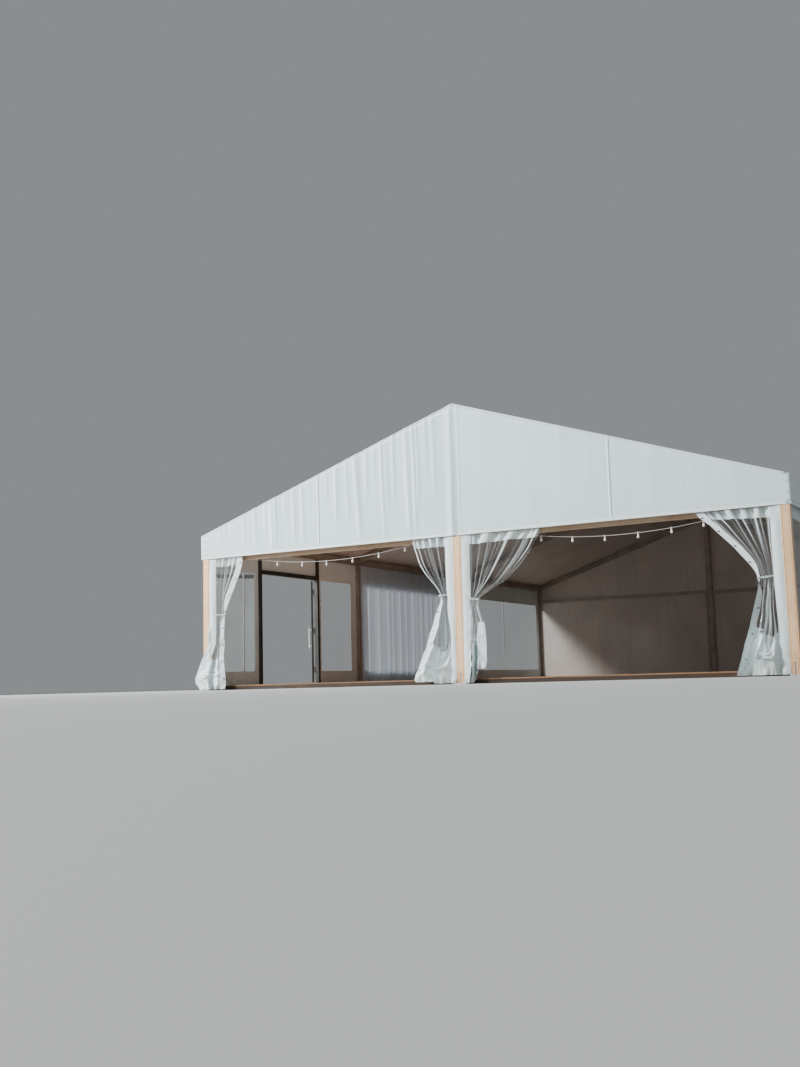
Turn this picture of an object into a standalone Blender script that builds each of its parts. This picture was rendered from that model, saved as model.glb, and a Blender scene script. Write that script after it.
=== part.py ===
"""Frame marquee, 10 m clear span, three 5 m bays, with an open front gable.

Metres, +Z up. X runs across the tent, Y from the open front gable (-Y) to the closed
rear one, and the origin is the middle of the floor's underside on the ground.
"""

import math

import bmesh
import bpy
from mathutils import Matrix, Vector

# Overall size
TENT_WIDTH = 10.0
BAY_LENGTH = 5.0
BAY_COUNT = 3
EAVE_HEIGHT = 2.70
ROOF_PITCH = math.radians(18.5)
VALANCE_DROP = 0.414

# Gap between touching pieces
GAP = 0.0003

# Aluminium legs and rafters
PROFILE_DEPTH = 0.13
PROFILE_WIDTH = 0.09
SHOE_TOP = 0.18
SHOE_SIZE = (0.07, 0.06)
SHOE_INSERT = 0.05
PLATE_THICKNESS = 0.010
PLATE_OUTER_EDGE = 0.03
PLATE_LENGTH = 0.18
UPRIGHT_WIDTH = 0.135
UPRIGHT_PLATE_WIDTH = 0.22
UPRIGHT_PLATE_FRONT_EDGE = 0.05

# Purlins and gable beams
RIDGE_PURLIN_SIZE = (0.08, 0.10)
EAVE_PURLIN_INSET = 0.02
EAVE_PURLIN_WIDTH = 0.11
EAVE_PURLIN_DROP = 0.14
BEAM_THICKNESS = 0.045
BEAM_HEIGHT = 0.077
BEAM_OVER_HEM = 0.014
BEAM_LAP = 0.03

# Sheets
SHEET = 0.006
EAVE_OVERHANG = 0.030
ROOF_SEAM = 0.003
GABLE_LIP = 0.010
WALL_INSET = 0.05
WALL_GROUND_GAP = 0.015

# Timber floor
FLOOR_HEIGHT = 0.08
EDGE_BOARD = 0.03

# Side door in the left wall of the first bay
DOOR_WIDTH = 2.0
DOOR_POST_WIDTH = 0.07
DOOR_POST_DEPTH = 0.08
DOOR_SILL = 0.09
DOOR_HEAD_BOTTOM = 2.14
DOOR_HEAD_HEIGHT = 0.08
LEAF_GAP = 0.006
LEAF_THICKNESS = 0.04
LEAF_STILE = 0.06
LEAF_BOTTOM_RAIL = 0.10
LEAF_SET_BACK = 0.002
GLASS_THICKNESS = 0.008
HINGE_OFFSET = 0.014
HINGE_RADIUS = 0.009
HINGE_LENGTH = 0.06
HINGE_PLATE = (0.018, 0.020)
HINGE_HEIGHT_SHARES = (0.1636, 0.5234, 0.8879)
HANDLE_LENGTH = 0.42
HANDLE_CENTRE = 1.02
HANDLE_RADIUS = 0.011
HANDLE_STAND_OFF = 0.045
HANDLE_FROM_EDGE = 0.030
DOOR_OPEN = math.radians(146.0)

# Drape inside the second bay
DRAPE_THICKNESS = 0.055
DRAPE_GROUND_GAP = 0.03
DRAPE_FACE_INSET = 0.005

# Strings of lights behind the front gable beam; their ends are shares of the way from
# the middle of the tent to a leg
CORD_DIAMETER = 0.006
CORD_BEHIND_BEAM = 0.012
LEFT_SWAG_SHARES = (-0.8522, -0.1438)
RIGHT_SWAG_SHARES = (0.1746, 0.8830)
SWAG_SAG = 0.170
CORD_POINTS = 40
CLIP_SIZE = (0.012, 0.008)
CORD_END_GAP = 0.001

# Front curtains, from the hem to the foot. Each row is a height as a share of the hem's,
# then the curtain's width, and how far it bulges past its leg, as shares of the clear
# width between a leg and the middle upright.
CURTAIN_TOP_CLEAR = 0.003
CURTAIN_FOOT = 0.015
CURTAIN_ROWS = {
    "far_left": (
        (1.0, 0.1478, 0.0),
        (0.910, 0.1436, 0.0),
        (0.766, 0.1124, 0.0),
        (0.595, 0.0874, 0.0),
        (0.437, 0.0666, 0.0),
        (0.219, 0.0708, 0.0479),
        (0.0875, 0.0770, 0.0625),
        (0.0, 0.0812, 0.0354),
    ),
    "centre_left": (
        (1.0, 0.1566, 0.0),
        (0.910, 0.1442, 0.0),
        (0.787, 0.1233, 0.0),
        (0.608, 0.0609, 0.0),
        (0.437, 0.0733, 0.0),
        (0.249, 0.1004, 0.0),
        (0.0875, 0.1442, 0.0),
        (0.0, 0.1504, 0.0),
    ),
    "centre_right": (
        (1.0, 0.2608, 0.0),
        (0.945, 0.2504, 0.0),
        (0.831, 0.2191, 0.0),
        (0.678, 0.1483, 0.0),
        (0.560, 0.0546, 0.0),
        (0.372, 0.0817, 0.0),
        (0.0875, 0.0858, 0.0),
        (0.0, 0.0733, 0.0),
    ),
    "far_right": (
        (1.0, 0.2394, 0.0),
        (0.910, 0.1957, 0.0),
        (0.761, 0.1311, 0.0),
        (0.599, 0.0770, 0.0),
        (0.394, 0.0895, 0.0),
        (0.219, 0.1124, 0.0),
        (0.0875, 0.1311, 0.0),
        (0.0, 0.1395, 0.0),
    ),
}
CURTAIN_TOP_DEPTH = 0.09
CURTAIN_TIE_DEPTH = 0.11
CURTAIN_FOOT_DEPTH = 0.24
CURTAIN_TIE_SHARE = 0.59

# Worked out from the sizes above
HALF = TENT_WIDTH / 2
LENGTH = BAY_LENGTH * BAY_COUNT
HEM_HEIGHT = EAVE_HEIGHT - VALANCE_DROP
EAVE_PURLIN_BOTTOM = EAVE_HEIGHT - EAVE_PURLIN_DROP
BEAM_TOP = HEM_HEIGHT + BEAM_OVER_HEM
BEAM_BOTTOM = BEAM_TOP - BEAM_HEIGHT
DOOR_HEAD_TOP = DOOR_HEAD_BOTTOM + DOOR_HEAD_HEIGHT
RISE = math.tan(ROOF_PITCH)
RAFTER_DROP = PROFILE_DEPTH / math.cos(ROOF_PITCH)
SHEET_DROP = SHEET / math.cos(ROOF_PITCH)
COVER_EDGE = HALF + EAVE_OVERHANG
WALL_X = HALF - WALL_INSET
WALL_TOP = EAVE_PURLIN_BOTTOM - GAP
HALF_PROFILE = PROFILE_WIDTH / 2
LEG_INNER = HALF - PROFILE_DEPTH
CURTAIN_LEG_EDGE = LEG_INNER - GAP
CURTAIN_UPRIGHT_EDGE = UPRIGHT_WIDTH / 2 + GAP
CLEAR_WIDTH = CURTAIN_LEG_EDGE - CURTAIN_UPRIGHT_EDGE
CORD_END_HEIGHT = (BEAM_TOP + BEAM_BOTTOM) / 2
LEFT_SWAG = [share * LEG_INNER for share in LEFT_SWAG_SHARES]
RIGHT_SWAG = [share * LEG_INNER for share in RIGHT_SWAG_SHARES]
HINGE_HEIGHTS = [share * DOOR_HEAD_BOTTOM for share in HINGE_HEIGHT_SHARES]


def roof_height(x):
    """Height of the roof's top surface at a distance x from the ridge."""
    return EAVE_HEIGHT + (HALF - abs(x)) * RISE


def frame_y(index):
    """Centre line of a portal frame, counted from the front gable."""
    return -LENGTH / 2 + index * BAY_LENGTH


FRONT = frame_y(0)
REAR = frame_y(BAY_COUNT)
DOOR_START = FRONT + (BAY_LENGTH - DOOR_WIDTH) / 2
DOOR_END = DOOR_START + DOOR_WIDTH


def clear_scene():
    for old in list(bpy.data.objects):
        bpy.data.objects.remove(old, do_unlink=True)


def make_material(name, colour, roughness, metallic=0.0, alpha=1.0):
    material = bpy.data.materials.new(name)
    material.use_nodes = True
    shader = material.node_tree.nodes["Principled BSDF"]
    shader.inputs["Base Color"].default_value = (*colour, 1.0)
    shader.inputs["Roughness"].default_value = roughness
    shader.inputs["Metallic"].default_value = metallic
    shader.inputs["Alpha"].default_value = alpha
    return material


def add_object(name, mesh_data, material):
    bmesh.ops.recalc_face_normals(mesh_data, faces=mesh_data.faces)
    mesh = bpy.data.meshes.new(name)
    mesh_data.to_mesh(mesh)
    mesh_data.free()
    mesh.materials.append(material)
    piece = bpy.data.objects.new(name, mesh)
    bpy.context.collection.objects.link(piece)
    return piece


def box(name, low, high, material):
    """A square-edged block between two corners."""
    data = bmesh.new()
    size = [high[axis] - low[axis] for axis in range(3)]
    centre = [(high[axis] + low[axis]) / 2 for axis in range(3)]
    place = Matrix.Translation(centre) @ Matrix.Diagonal((*size, 1.0))
    bmesh.ops.create_cube(data, size=1.0, matrix=place)
    return add_object(name, data, material)


def prism(name, outline, y_low, y_high, material):
    """An outline in the XZ plane, extruded along Y."""
    data = bmesh.new()
    face = data.faces.new([data.verts.new((x, y_low, z)) for x, z in outline])
    grown = bmesh.ops.extrude_face_region(data, geom=[face])
    moved = [item for item in grown["geom"] if isinstance(item, bmesh.types.BMVert)]
    bmesh.ops.translate(data, verts=moved, vec=(0, y_high - y_low, 0))
    return add_object(name, data, material)


def rod(name, start, end, radius, material, sides=16):
    """A round bar from one point to another."""
    data = bmesh.new()
    line = Vector(end) - Vector(start)
    turn = line.to_track_quat("Z", "Y").to_matrix().to_4x4()
    place = Matrix.Translation((Vector(start) + Vector(end)) / 2) @ turn
    bmesh.ops.create_cone(
        data, cap_ends=True, segments=sides, radius1=radius, radius2=radius, depth=line.length, matrix=place
    )
    piece = add_object(name, data, material)
    piece.data.shade_smooth()
    piece.data.set_sharp_from_angle(angle=math.radians(40))
    return piece


def use_boolean(piece, other, operation):
    """Join or cut a piece with a guide object, which the model leaves out."""
    change = piece.modifiers.new(other.name, "BOOLEAN")
    change.operation = operation
    change.solver = "EXACT"
    change.object = other
    other.hide_render = True
    other.display_type = "WIRE"
    other.hide_set(True)


def join_to(piece, others):
    for other in others:
        use_boolean(piece, other, "UNION")


def cut_from(piece, cutters):
    for cutter in cutters:
        use_boolean(piece, cutter, "DIFFERENCE")


def build_leg(name, side, y_centre, material):
    """A leg with its top cut to the rafter, on a steel shoe and base plate."""
    low, high = y_centre - HALF_PROFILE, y_centre + HALF_PROFILE
    outer_top = roof_height(HALF) - RAFTER_DROP - GAP
    inner_top = roof_height(LEG_INNER) - RAFTER_DROP - GAP
    outline = (
        (side * HALF, SHOE_TOP),
        (side * LEG_INNER, SHOE_TOP),
        (side * LEG_INNER, inner_top),
        (side * HALF, outer_top),
    )
    leg = prism(name, outline, low, high, material)
    centre_x = side * (HALF - PROFILE_DEPTH / 2)
    shoe = box(
        name + "_shoe",
        (centre_x - SHOE_SIZE[0] / 2, y_centre - SHOE_SIZE[1] / 2, PLATE_THICKNESS / 2),
        (centre_x + SHOE_SIZE[0] / 2, y_centre + SHOE_SIZE[1] / 2, SHOE_TOP + SHOE_INSERT),
        material,
    )
    plate_x = sorted((side * LEG_INNER, side * (HALF + PLATE_OUTER_EDGE)))
    plate = box(
        name + "_plate",
        (plate_x[0], y_centre - PLATE_LENGTH / 2, 0.0),
        (plate_x[1], y_centre + PLATE_LENGTH / 2, PLATE_THICKNESS),
        material,
    )
    join_to(leg, (shoe, plate))
    return leg


def build_rafter(name, side, y_centre, material):
    """Half of a portal frame's roof beam, from the eave to the ridge."""
    ridge_x = side * GAP / 2
    outline = (
        (side * HALF, roof_height(HALF)),
        (ridge_x, roof_height(ridge_x)),
        (ridge_x, roof_height(ridge_x) - RAFTER_DROP),
        (side * HALF, roof_height(HALF) - RAFTER_DROP),
    )
    return prism(name, outline, y_centre - HALF_PROFILE, y_centre + HALF_PROFILE, material)


def build_frames(material):
    for index in range(BAY_COUNT + 1):
        for side, word in ((-1, "left"), (1, "right")):
            label = f"frame_{index + 1}_{word}"
            build_leg(label + "_leg", side, frame_y(index), material)
            build_rafter(label + "_rafter", side, frame_y(index), material)


def bay_limits(index):
    """Clear stretch of Y between two neighbouring frames."""
    start = frame_y(index) + HALF_PROFILE + GAP
    end = frame_y(index + 1) - HALF_PROFILE - GAP
    return start, end


def build_purlins(material):
    ridge_half = RIDGE_PURLIN_SIZE[0] / 2
    ridge_top = roof_height(ridge_half) - SHEET_DROP - GAP
    eave_outer = HALF - EAVE_PURLIN_INSET
    eave_inner = eave_outer - EAVE_PURLIN_WIDTH
    eave_top = roof_height(eave_outer) - SHEET_DROP - GAP
    for index in range(BAY_COUNT):
        start, end = bay_limits(index)
        box(
            f"ridge_purlin_bay_{index + 1}",
            (-ridge_half, start, ridge_top - RIDGE_PURLIN_SIZE[1]),
            (ridge_half, end, ridge_top),
            material,
        )
        for side, word in ((-1, "left"), (1, "right")):
            edges = sorted((side * eave_inner, side * eave_outer))
            box(
                f"{word}_eave_purlin_bay_{index + 1}",
                (edges[0], start, EAVE_PURLIN_BOTTOM),
                (edges[1], end, eave_top),
                material,
            )


def build_gable_frame(word, y_centre, inward, material):
    """The beam behind a gable's legs, and the upright in the middle of it."""
    near = y_centre + inward * (HALF_PROFILE + GAP)
    far = near + inward * BEAM_THICKNESS
    half_length = LEG_INNER + BEAM_LAP
    beam = box(
        f"{word}_gable_beam",
        (-half_length, min(near, far), BEAM_BOTTOM),
        (half_length, max(near, far), BEAM_TOP),
        material,
    )
    half_width = UPRIGHT_WIDTH / 2
    upright_top = roof_height(half_width) - RAFTER_DROP - GAP
    upright = box(
        f"{word}_centre_upright",
        (-half_width, y_centre - HALF_PROFILE, SHOE_TOP),
        (half_width, y_centre + HALF_PROFILE, upright_top),
        material,
    )
    shoe = box(
        f"{word}_upright_shoe",
        (-SHOE_SIZE[0] / 2, y_centre - SHOE_SIZE[1] / 2, PLATE_THICKNESS / 2),
        (SHOE_SIZE[0] / 2, y_centre + SHOE_SIZE[1] / 2, SHOE_TOP + SHOE_INSERT),
        material,
    )
    inner_edge = y_centre + inward * HALF_PROFILE
    outer_edge = y_centre - inward * (HALF_PROFILE + UPRIGHT_PLATE_FRONT_EDGE)
    plate = box(
        f"{word}_upright_plate",
        (-UPRIGHT_PLATE_WIDTH / 2, min(inner_edge, outer_edge), 0.0),
        (UPRIGHT_PLATE_WIDTH / 2, max(inner_edge, outer_edge), PLATE_THICKNESS),
        material,
    )
    join_to(upright, (shoe, plate))
    return beam


def build_cord_clips(beam, material):
    """Small clips behind the front beam that the strings of lights end at."""
    beam_back = FRONT + HALF_PROFILE + GAP + BEAM_THICKNESS
    clips = []
    for number, (x, inward) in enumerate(
        ((LEFT_SWAG[0], 1), (LEFT_SWAG[1], -1), (RIGHT_SWAG[0], 1), (RIGHT_SWAG[1], -1))
    ):
        edges = sorted((x - inward * CORD_END_GAP, x - inward * (CORD_END_GAP + CLIP_SIZE[0])))
        clips.append(
            box(
                f"cord_clip_{number + 1}",
                (edges[0], beam_back - CLIP_SIZE[0] / 2, CORD_END_HEIGHT - CLIP_SIZE[1]),
                (edges[1], beam_back + CORD_BEHIND_BEAM + CLIP_SIZE[0] / 2, CORD_END_HEIGHT + CLIP_SIZE[1]),
                material,
            )
        )
    join_to(beam, clips)


def build_roof(material):
    """One sheet to a bay, over the ridge and down outside the legs as a valance."""
    inner_edge = COVER_EDGE - SHEET
    for index in range(BAY_COUNT):
        y_low = frame_y(index) + (ROOF_SEAM / 2 if index else -HALF_PROFILE)
        y_high = frame_y(index + 1) + (-ROOF_SEAM / 2 if index < BAY_COUNT - 1 else HALF_PROFILE)
        outline = (
            (-COVER_EDGE, HEM_HEIGHT),
            (-COVER_EDGE, roof_height(COVER_EDGE)),
            (0.0, roof_height(0.0)),
            (COVER_EDGE, roof_height(COVER_EDGE)),
            (COVER_EDGE, HEM_HEIGHT),
            (inner_edge, HEM_HEIGHT),
            (inner_edge, roof_height(inner_edge) - SHEET_DROP),
            (0.0, roof_height(0.0) - SHEET_DROP),
            (-inner_edge, roof_height(inner_edge) - SHEET_DROP),
            (-inner_edge, HEM_HEIGHT),
        )
        cover = prism(f"roof_cover_bay_{index + 1}", outline, y_low, y_high, material)
        cutters = []
        for frame in (index, index + 1):
            middle = frame_y(frame)
            cutters.append(
                box(
                    f"roof_cut_{index + 1}_{frame + 1}",
                    (-HALF - GAP, middle - HALF_PROFILE - GAP, EAVE_HEIGHT - PROFILE_DEPTH),
                    (HALF + GAP, middle + HALF_PROFILE + GAP, roof_height(0.0) + PROFILE_DEPTH),
                    material,
                )
            )
        cut_from(cover, cutters)


def build_gable_cover(word, y_face, outward, material):
    """The closed triangle of sheet over a gable, down to the hem."""
    near = y_face + outward * GAP
    far = near + outward * SHEET
    edge_top = roof_height(COVER_EDGE) + GABLE_LIP
    outline = (
        (-COVER_EDGE, HEM_HEIGHT),
        (-COVER_EDGE, edge_top),
        (0.0, roof_height(0.0) + GABLE_LIP),
        (COVER_EDGE, edge_top),
        (COVER_EDGE, HEM_HEIGHT),
    )
    return prism(f"{word}_gable_cover", outline, min(near, far), max(near, far), material)


def build_side_wall(name, side, y_low, y_high, z_low, material):
    edges = sorted((side * WALL_X - SHEET / 2, side * WALL_X + SHEET / 2))
    return box(name, (edges[0], y_low, z_low), (edges[1], y_high, WALL_TOP), material)


def build_walls(material):
    start, end = bay_limits(0)
    build_side_wall("left_wall_bay_1_front", -1, start, DOOR_START - GAP, WALL_GROUND_GAP, material)
    build_side_wall("left_wall_bay_1_back", -1, DOOR_END + GAP, end, WALL_GROUND_GAP, material)
    build_side_wall(
        "left_wall_over_door",
        -1,
        DOOR_START + DOOR_POST_WIDTH + GAP,
        DOOR_END - DOOR_POST_WIDTH - GAP,
        DOOR_HEAD_TOP + GAP,
        material,
    )
    for index in range(BAY_COUNT):
        start, end = bay_limits(index)
        build_side_wall(f"right_wall_bay_{index + 1}", 1, start, end, WALL_GROUND_GAP, material)
        if index:
            build_side_wall(f"left_wall_bay_{index + 1}", -1, start, end, WALL_GROUND_GAP, material)
    upright_edge = UPRIGHT_WIDTH / 2 + GAP
    leg_edge = LEG_INNER - GAP
    for word, x_low, x_high in (("left", -leg_edge, -upright_edge), ("right", upright_edge, leg_edge)):
        box(
            f"rear_wall_{word}",
            (x_low, REAR - SHEET / 2, WALL_GROUND_GAP),
            (x_high, REAR + SHEET / 2, BEAM_TOP),
            material,
        )


def build_floor(material):
    edge = LEG_INNER - GAP
    board_front = FRONT + HALF_PROFILE + GAP
    board_back = board_front + EDGE_BOARD
    box("floor_edge_board", (-edge, board_front, 0.0), (edge, board_back, FLOOR_HEIGHT), material)
    box(
        "timber_floor",
        (-edge, board_back + GAP, 0.0),
        (edge, REAR - HALF_PROFILE - GAP, FLOOR_HEIGHT),
        material,
    )


def build_door_frame(material):
    """Two posts up to the eave purlin, a sill and a head, with the hinges' fixed halves."""
    x_low = -WALL_X - DOOR_POST_DEPTH / 2
    x_high = -WALL_X + DOOR_POST_DEPTH / 2
    frame = box("door_frame", (x_low, DOOR_START, 0.0), (x_high, DOOR_END, WALL_TOP), material)
    inner_start = DOOR_START + DOOR_POST_WIDTH
    inner_end = DOOR_END - DOOR_POST_WIDTH
    doorway = box(
        "doorway_cut",
        (x_low - DOOR_POST_DEPTH, inner_start, DOOR_SILL),
        (x_high + DOOR_POST_DEPTH, inner_end, DOOR_HEAD_BOTTOM),
        material,
    )
    over_head = box(
        "over_head_cut",
        (x_low - DOOR_POST_DEPTH, inner_start, DOOR_HEAD_TOP),
        (x_high + DOOR_POST_DEPTH, inner_end, WALL_TOP + DOOR_POST_DEPTH),
        material,
    )
    cut_from(frame, (doorway, over_head))
    hinge_x = x_low + LEAF_SET_BACK - HINGE_OFFSET
    for word, edge, direction in (("front", inner_start, 1), ("back", inner_end, -1)):
        hinge_y = edge + direction * LEAF_GAP / 2
        for number, height in enumerate(HINGE_HEIGHTS):
            low, high = height - HINGE_LENGTH, height - GAP
            knuckle = rod(
                f"fixed_knuckle_{word}_{number}", (hinge_x, hinge_y, low), (hinge_x, hinge_y, high), HINGE_RADIUS, material
            )
            plate_y = sorted((hinge_y - direction * HINGE_RADIUS / 2, hinge_y - direction * HINGE_PLATE[1]))
            plate = box(
                f"fixed_plate_{word}_{number}",
                (hinge_x, plate_y[0], low),
                (hinge_x + HINGE_PLATE[0], plate_y[1], high),
                material,
            )
            join_to(frame, (knuckle, plate))
    return frame


def build_leaf(word, edge, direction, material, glass):
    """One door leaf in its closed place, then turned open about its hinges."""
    hinge_x = -WALL_X - DOOR_POST_DEPTH / 2 + LEAF_SET_BACK - HINGE_OFFSET
    hinge_y = edge + direction * LEAF_GAP / 2
    width = (DOOR_WIDTH - 2 * DOOR_POST_WIDTH - 3 * LEAF_GAP) / 2
    bottom, top = DOOR_SILL + LEAF_GAP, DOOR_HEAD_BOTTOM - LEAF_GAP
    near, far = LEAF_GAP / 2, LEAF_GAP / 2 + width
    face, back = HINGE_OFFSET, HINGE_OFFSET + LEAF_THICKNESS

    def span(first, second):
        return sorted((direction * first, direction * second))

    leaf_y = span(near, far)
    leaf = box(f"door_leaf_{word}", (face, leaf_y[0], bottom), (back, leaf_y[1], top), material)
    pane_y = span(near + LEAF_STILE, far - LEAF_STILE)
    pane_low, pane_high = bottom + LEAF_BOTTOM_RAIL, top - LEAF_STILE
    window = box(
        f"leaf_cut_{word}",
        (face - LEAF_THICKNESS, pane_y[0], pane_low),
        (back + LEAF_THICKNESS, pane_y[1], pane_high),
        material,
    )
    cut_from(leaf, (window,))
    middle = (face + back) / 2
    pane = box(
        f"door_glass_{word}",
        (middle - GLASS_THICKNESS / 2, pane_y[0] + GAP, pane_low + GAP),
        (middle + GLASS_THICKNESS / 2, pane_y[1] - GAP, pane_high - GAP),
        glass,
    )
    extras = []
    for number, height in enumerate(HINGE_HEIGHTS):
        low, high = height, height + HINGE_LENGTH
        extras.append(rod(f"leaf_knuckle_{word}_{number}", (0, 0, low), (0, 0, high), HINGE_RADIUS, material))
        plate_y = span(HINGE_RADIUS / 2, HINGE_PLATE[1])
        extras.append(
            box(f"leaf_plate_{word}_{number}", (0, plate_y[0], low), (HINGE_PLATE[0], plate_y[1], high), material)
        )
    handle_y = direction * (far - HANDLE_FROM_EDGE)
    handle_low = HANDLE_CENTRE - HANDLE_LENGTH / 2
    handle_high = HANDLE_CENTRE + HANDLE_LENGTH / 2
    for mark, start_x, end_x in (("out", face, face - HANDLE_STAND_OFF), ("in", back, back + HANDLE_STAND_OFF)):
        extras.append(
            rod(
                f"handle_{mark}_{word}",
                (end_x, handle_y, handle_low),
                (end_x, handle_y, handle_high),
                HANDLE_RADIUS,
                material,
                12,
            )
        )
        inside_x = start_x + (LEAF_THICKNESS / 4 if mark == "out" else -LEAF_THICKNESS / 4)
        for height in (handle_low + HANDLE_STAND_OFF, handle_high - HANDLE_STAND_OFF):
            extras.append(
                rod(
                    f"stand_off_{mark}_{word}_{height:.2f}",
                    (inside_x, handle_y, height),
                    (end_x, handle_y, height),
                    HANDLE_RADIUS * 0.7,
                    material,
                    8,
                )
            )
    join_to(leaf, extras)
    hinge = bpy.data.objects.new(f"hinge_{word}", None)
    bpy.context.collection.objects.link(hinge)
    for piece in (leaf, pane, window, *extras):
        piece.parent = hinge
    hinge.location = (hinge_x, hinge_y, 0.0)
    hinge.rotation_euler = (0.0, 0.0, direction * DOOR_OPEN)


def build_door(metal, glass):
    build_door_frame(metal)
    build_leaf("front", DOOR_START + DOOR_POST_WIDTH, 1, metal, glass)
    build_leaf("back", DOOR_END - DOOR_POST_WIDTH, -1, metal, glass)


def build_drape(material):
    start, end = bay_limits(1)
    inner = -LEG_INNER - DRAPE_FACE_INSET
    box(
        "inner_drape",
        (inner - DRAPE_THICKNESS, start, DRAPE_GROUND_GAP),
        (inner, end, WALL_TOP),
        material,
    )


def curtain_depth(share):
    """Depth of the gathered folds at a share of the hem's height, fullest at the foot."""
    if share >= CURTAIN_TIE_SHARE:
        way = (1.0 - share) / (1.0 - CURTAIN_TIE_SHARE)
        return CURTAIN_TOP_DEPTH + way * (CURTAIN_TIE_DEPTH - CURTAIN_TOP_DEPTH)
    way = 1.0 - share / CURTAIN_TIE_SHARE
    return CURTAIN_TIE_DEPTH + way * (CURTAIN_FOOT_DEPTH - CURTAIN_TIE_DEPTH)


def loft(name, sections, material):
    """A closed skin through level rectangles given as height, x range and y range."""
    data = bmesh.new()
    rings = []
    for height, x_low, x_high, y_low, y_high in sections:
        corners = [(x_low, y_low), (x_high, y_low), (x_high, y_high), (x_low, y_high)]
        ring = [data.verts.new((x, y, height)) for x, y in corners]
        rings.append([data.edges.new((ring[side], ring[(side + 1) % 4])) for side in range(4)])
    for upper, lower in zip(rings, rings[1:]):
        bmesh.ops.bridge_loops(data, edges=upper + lower)
    for ring in (rings[0], rings[-1]):
        bmesh.ops.contextual_create(data, geom=ring)
    return add_object(name, data, material)


def build_curtain(word, fixed_edge, inward, material):
    """A tied-back curtain: one straight edge on its post, one drawn in to the tie."""
    back = FRONT + HALF_PROFILE
    foot, top = CURTAIN_FOOT, HEM_HEIGHT - CURTAIN_TOP_CLEAR
    sections = []
    for share, width, bulge in CURTAIN_ROWS[word]:
        edges = sorted((fixed_edge - inward * bulge * CLEAR_WIDTH, fixed_edge + inward * width * CLEAR_WIDTH))
        height = foot + share * (top - foot)
        sections.append((height, *edges, back - curtain_depth(share), back))
    curtain = loft("curtain_" + word, sections, material)
    if any(bulge for share, width, bulge in CURTAIN_ROWS[word]):
        leg_side = box(
            f"{word}_leg_cut",
            (-HALF - PROFILE_DEPTH * 3, FRONT - HALF_PROFILE - GAP, -PROFILE_DEPTH),
            (-LEG_INNER + GAP, back + PROFILE_WIDTH, HEM_HEIGHT + PROFILE_DEPTH),
            material,
        )
        cut_from(curtain, (leg_side,))


def build_curtains(material):
    build_curtain("far_left", -CURTAIN_LEG_EDGE, 1, material)
    build_curtain("centre_left", -CURTAIN_UPRIGHT_EDGE, -1, material)
    build_curtain("centre_right", CURTAIN_UPRIGHT_EDGE, 1, material)
    build_curtain("far_right", CURTAIN_LEG_EDGE, -1, material)


def build_cord(name, ends, material):
    """A string of lights hanging in one swag between two clips."""
    y = FRONT + HALF_PROFILE + GAP + BEAM_THICKNESS + CORD_BEHIND_BEAM
    curve = bpy.data.curves.new(name, "CURVE")
    curve.dimensions = "3D"
    spline = curve.splines.new("POLY")
    spline.points.add(CORD_POINTS - 1)
    for number, point in enumerate(spline.points):
        share = number / (CORD_POINTS - 1)
        x = ends[0] + share * (ends[1] - ends[0])
        point.co = (x, y, CORD_END_HEIGHT - 4 * SWAG_SAG * share * (1 - share), 1.0)
    curve.bevel_depth = CORD_DIAMETER / 2
    curve.bevel_resolution = 2
    curve.use_fill_caps = True
    curve.materials.append(material)
    cord = bpy.data.objects.new(name, curve)
    bpy.context.collection.objects.link(cord)


def main():
    clear_scene()
    aluminium = make_material("aluminium", (0.72, 0.68, 0.62), 0.38, 0.9)
    white_sheet = make_material("white_sheet", (0.86, 0.87, 0.86), 0.45)
    clear_sheet = make_material("curtain_sheet", (0.80, 0.82, 0.80), 0.25)
    door_metal = make_material("door_metal", (0.22, 0.20, 0.18), 0.45, 0.6)
    glass = make_material("door_glass", (0.75, 0.82, 0.80), 0.05, 0.0, 0.3)
    timber = make_material("timber", (0.42, 0.19, 0.07), 0.6)
    drape = make_material("drape_cloth", (0.83, 0.80, 0.80), 0.9)
    cord = make_material("white_cord", (0.82, 0.82, 0.80), 0.6)
    build_frames(aluminium)
    build_purlins(aluminium)
    front_beam = build_gable_frame("front", FRONT, 1, aluminium)
    build_cord_clips(front_beam, aluminium)
    build_gable_frame("rear", REAR, -1, aluminium)
    build_roof(white_sheet)
    build_gable_cover("front", FRONT - HALF_PROFILE, -1, white_sheet)
    build_gable_cover("rear", REAR + HALF_PROFILE, 1, white_sheet)
    build_walls(white_sheet)
    build_floor(timber)
    build_door(door_metal, glass)
    build_drape(drape)
    build_curtains(clear_sheet)
    build_cord("festoon_cord_left", LEFT_SWAG, cord)
    build_cord("festoon_cord_right", RIGHT_SWAG, cord)


main()
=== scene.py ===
# %% [markdown]
# # A frame marquee with an open gable
#
# The real tent stands on aluminium portal frames, five metres apart, ten metres wide.
# White coated sheets are drawn along grooves in those frames, clear windows are welded
# into the walls, and four clear curtains are tied back in the open gable. We dress the
# fixed solids of the tent piece by piece. Sizes are in metres, X runs across the tent,
# the open gable faces -Y, and the ground is at Z = 0.

# %% Load the solids
import math
import random
from functools import partial

import bmesh
import bpy
from mathutils import Matrix, Vector, noise


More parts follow.
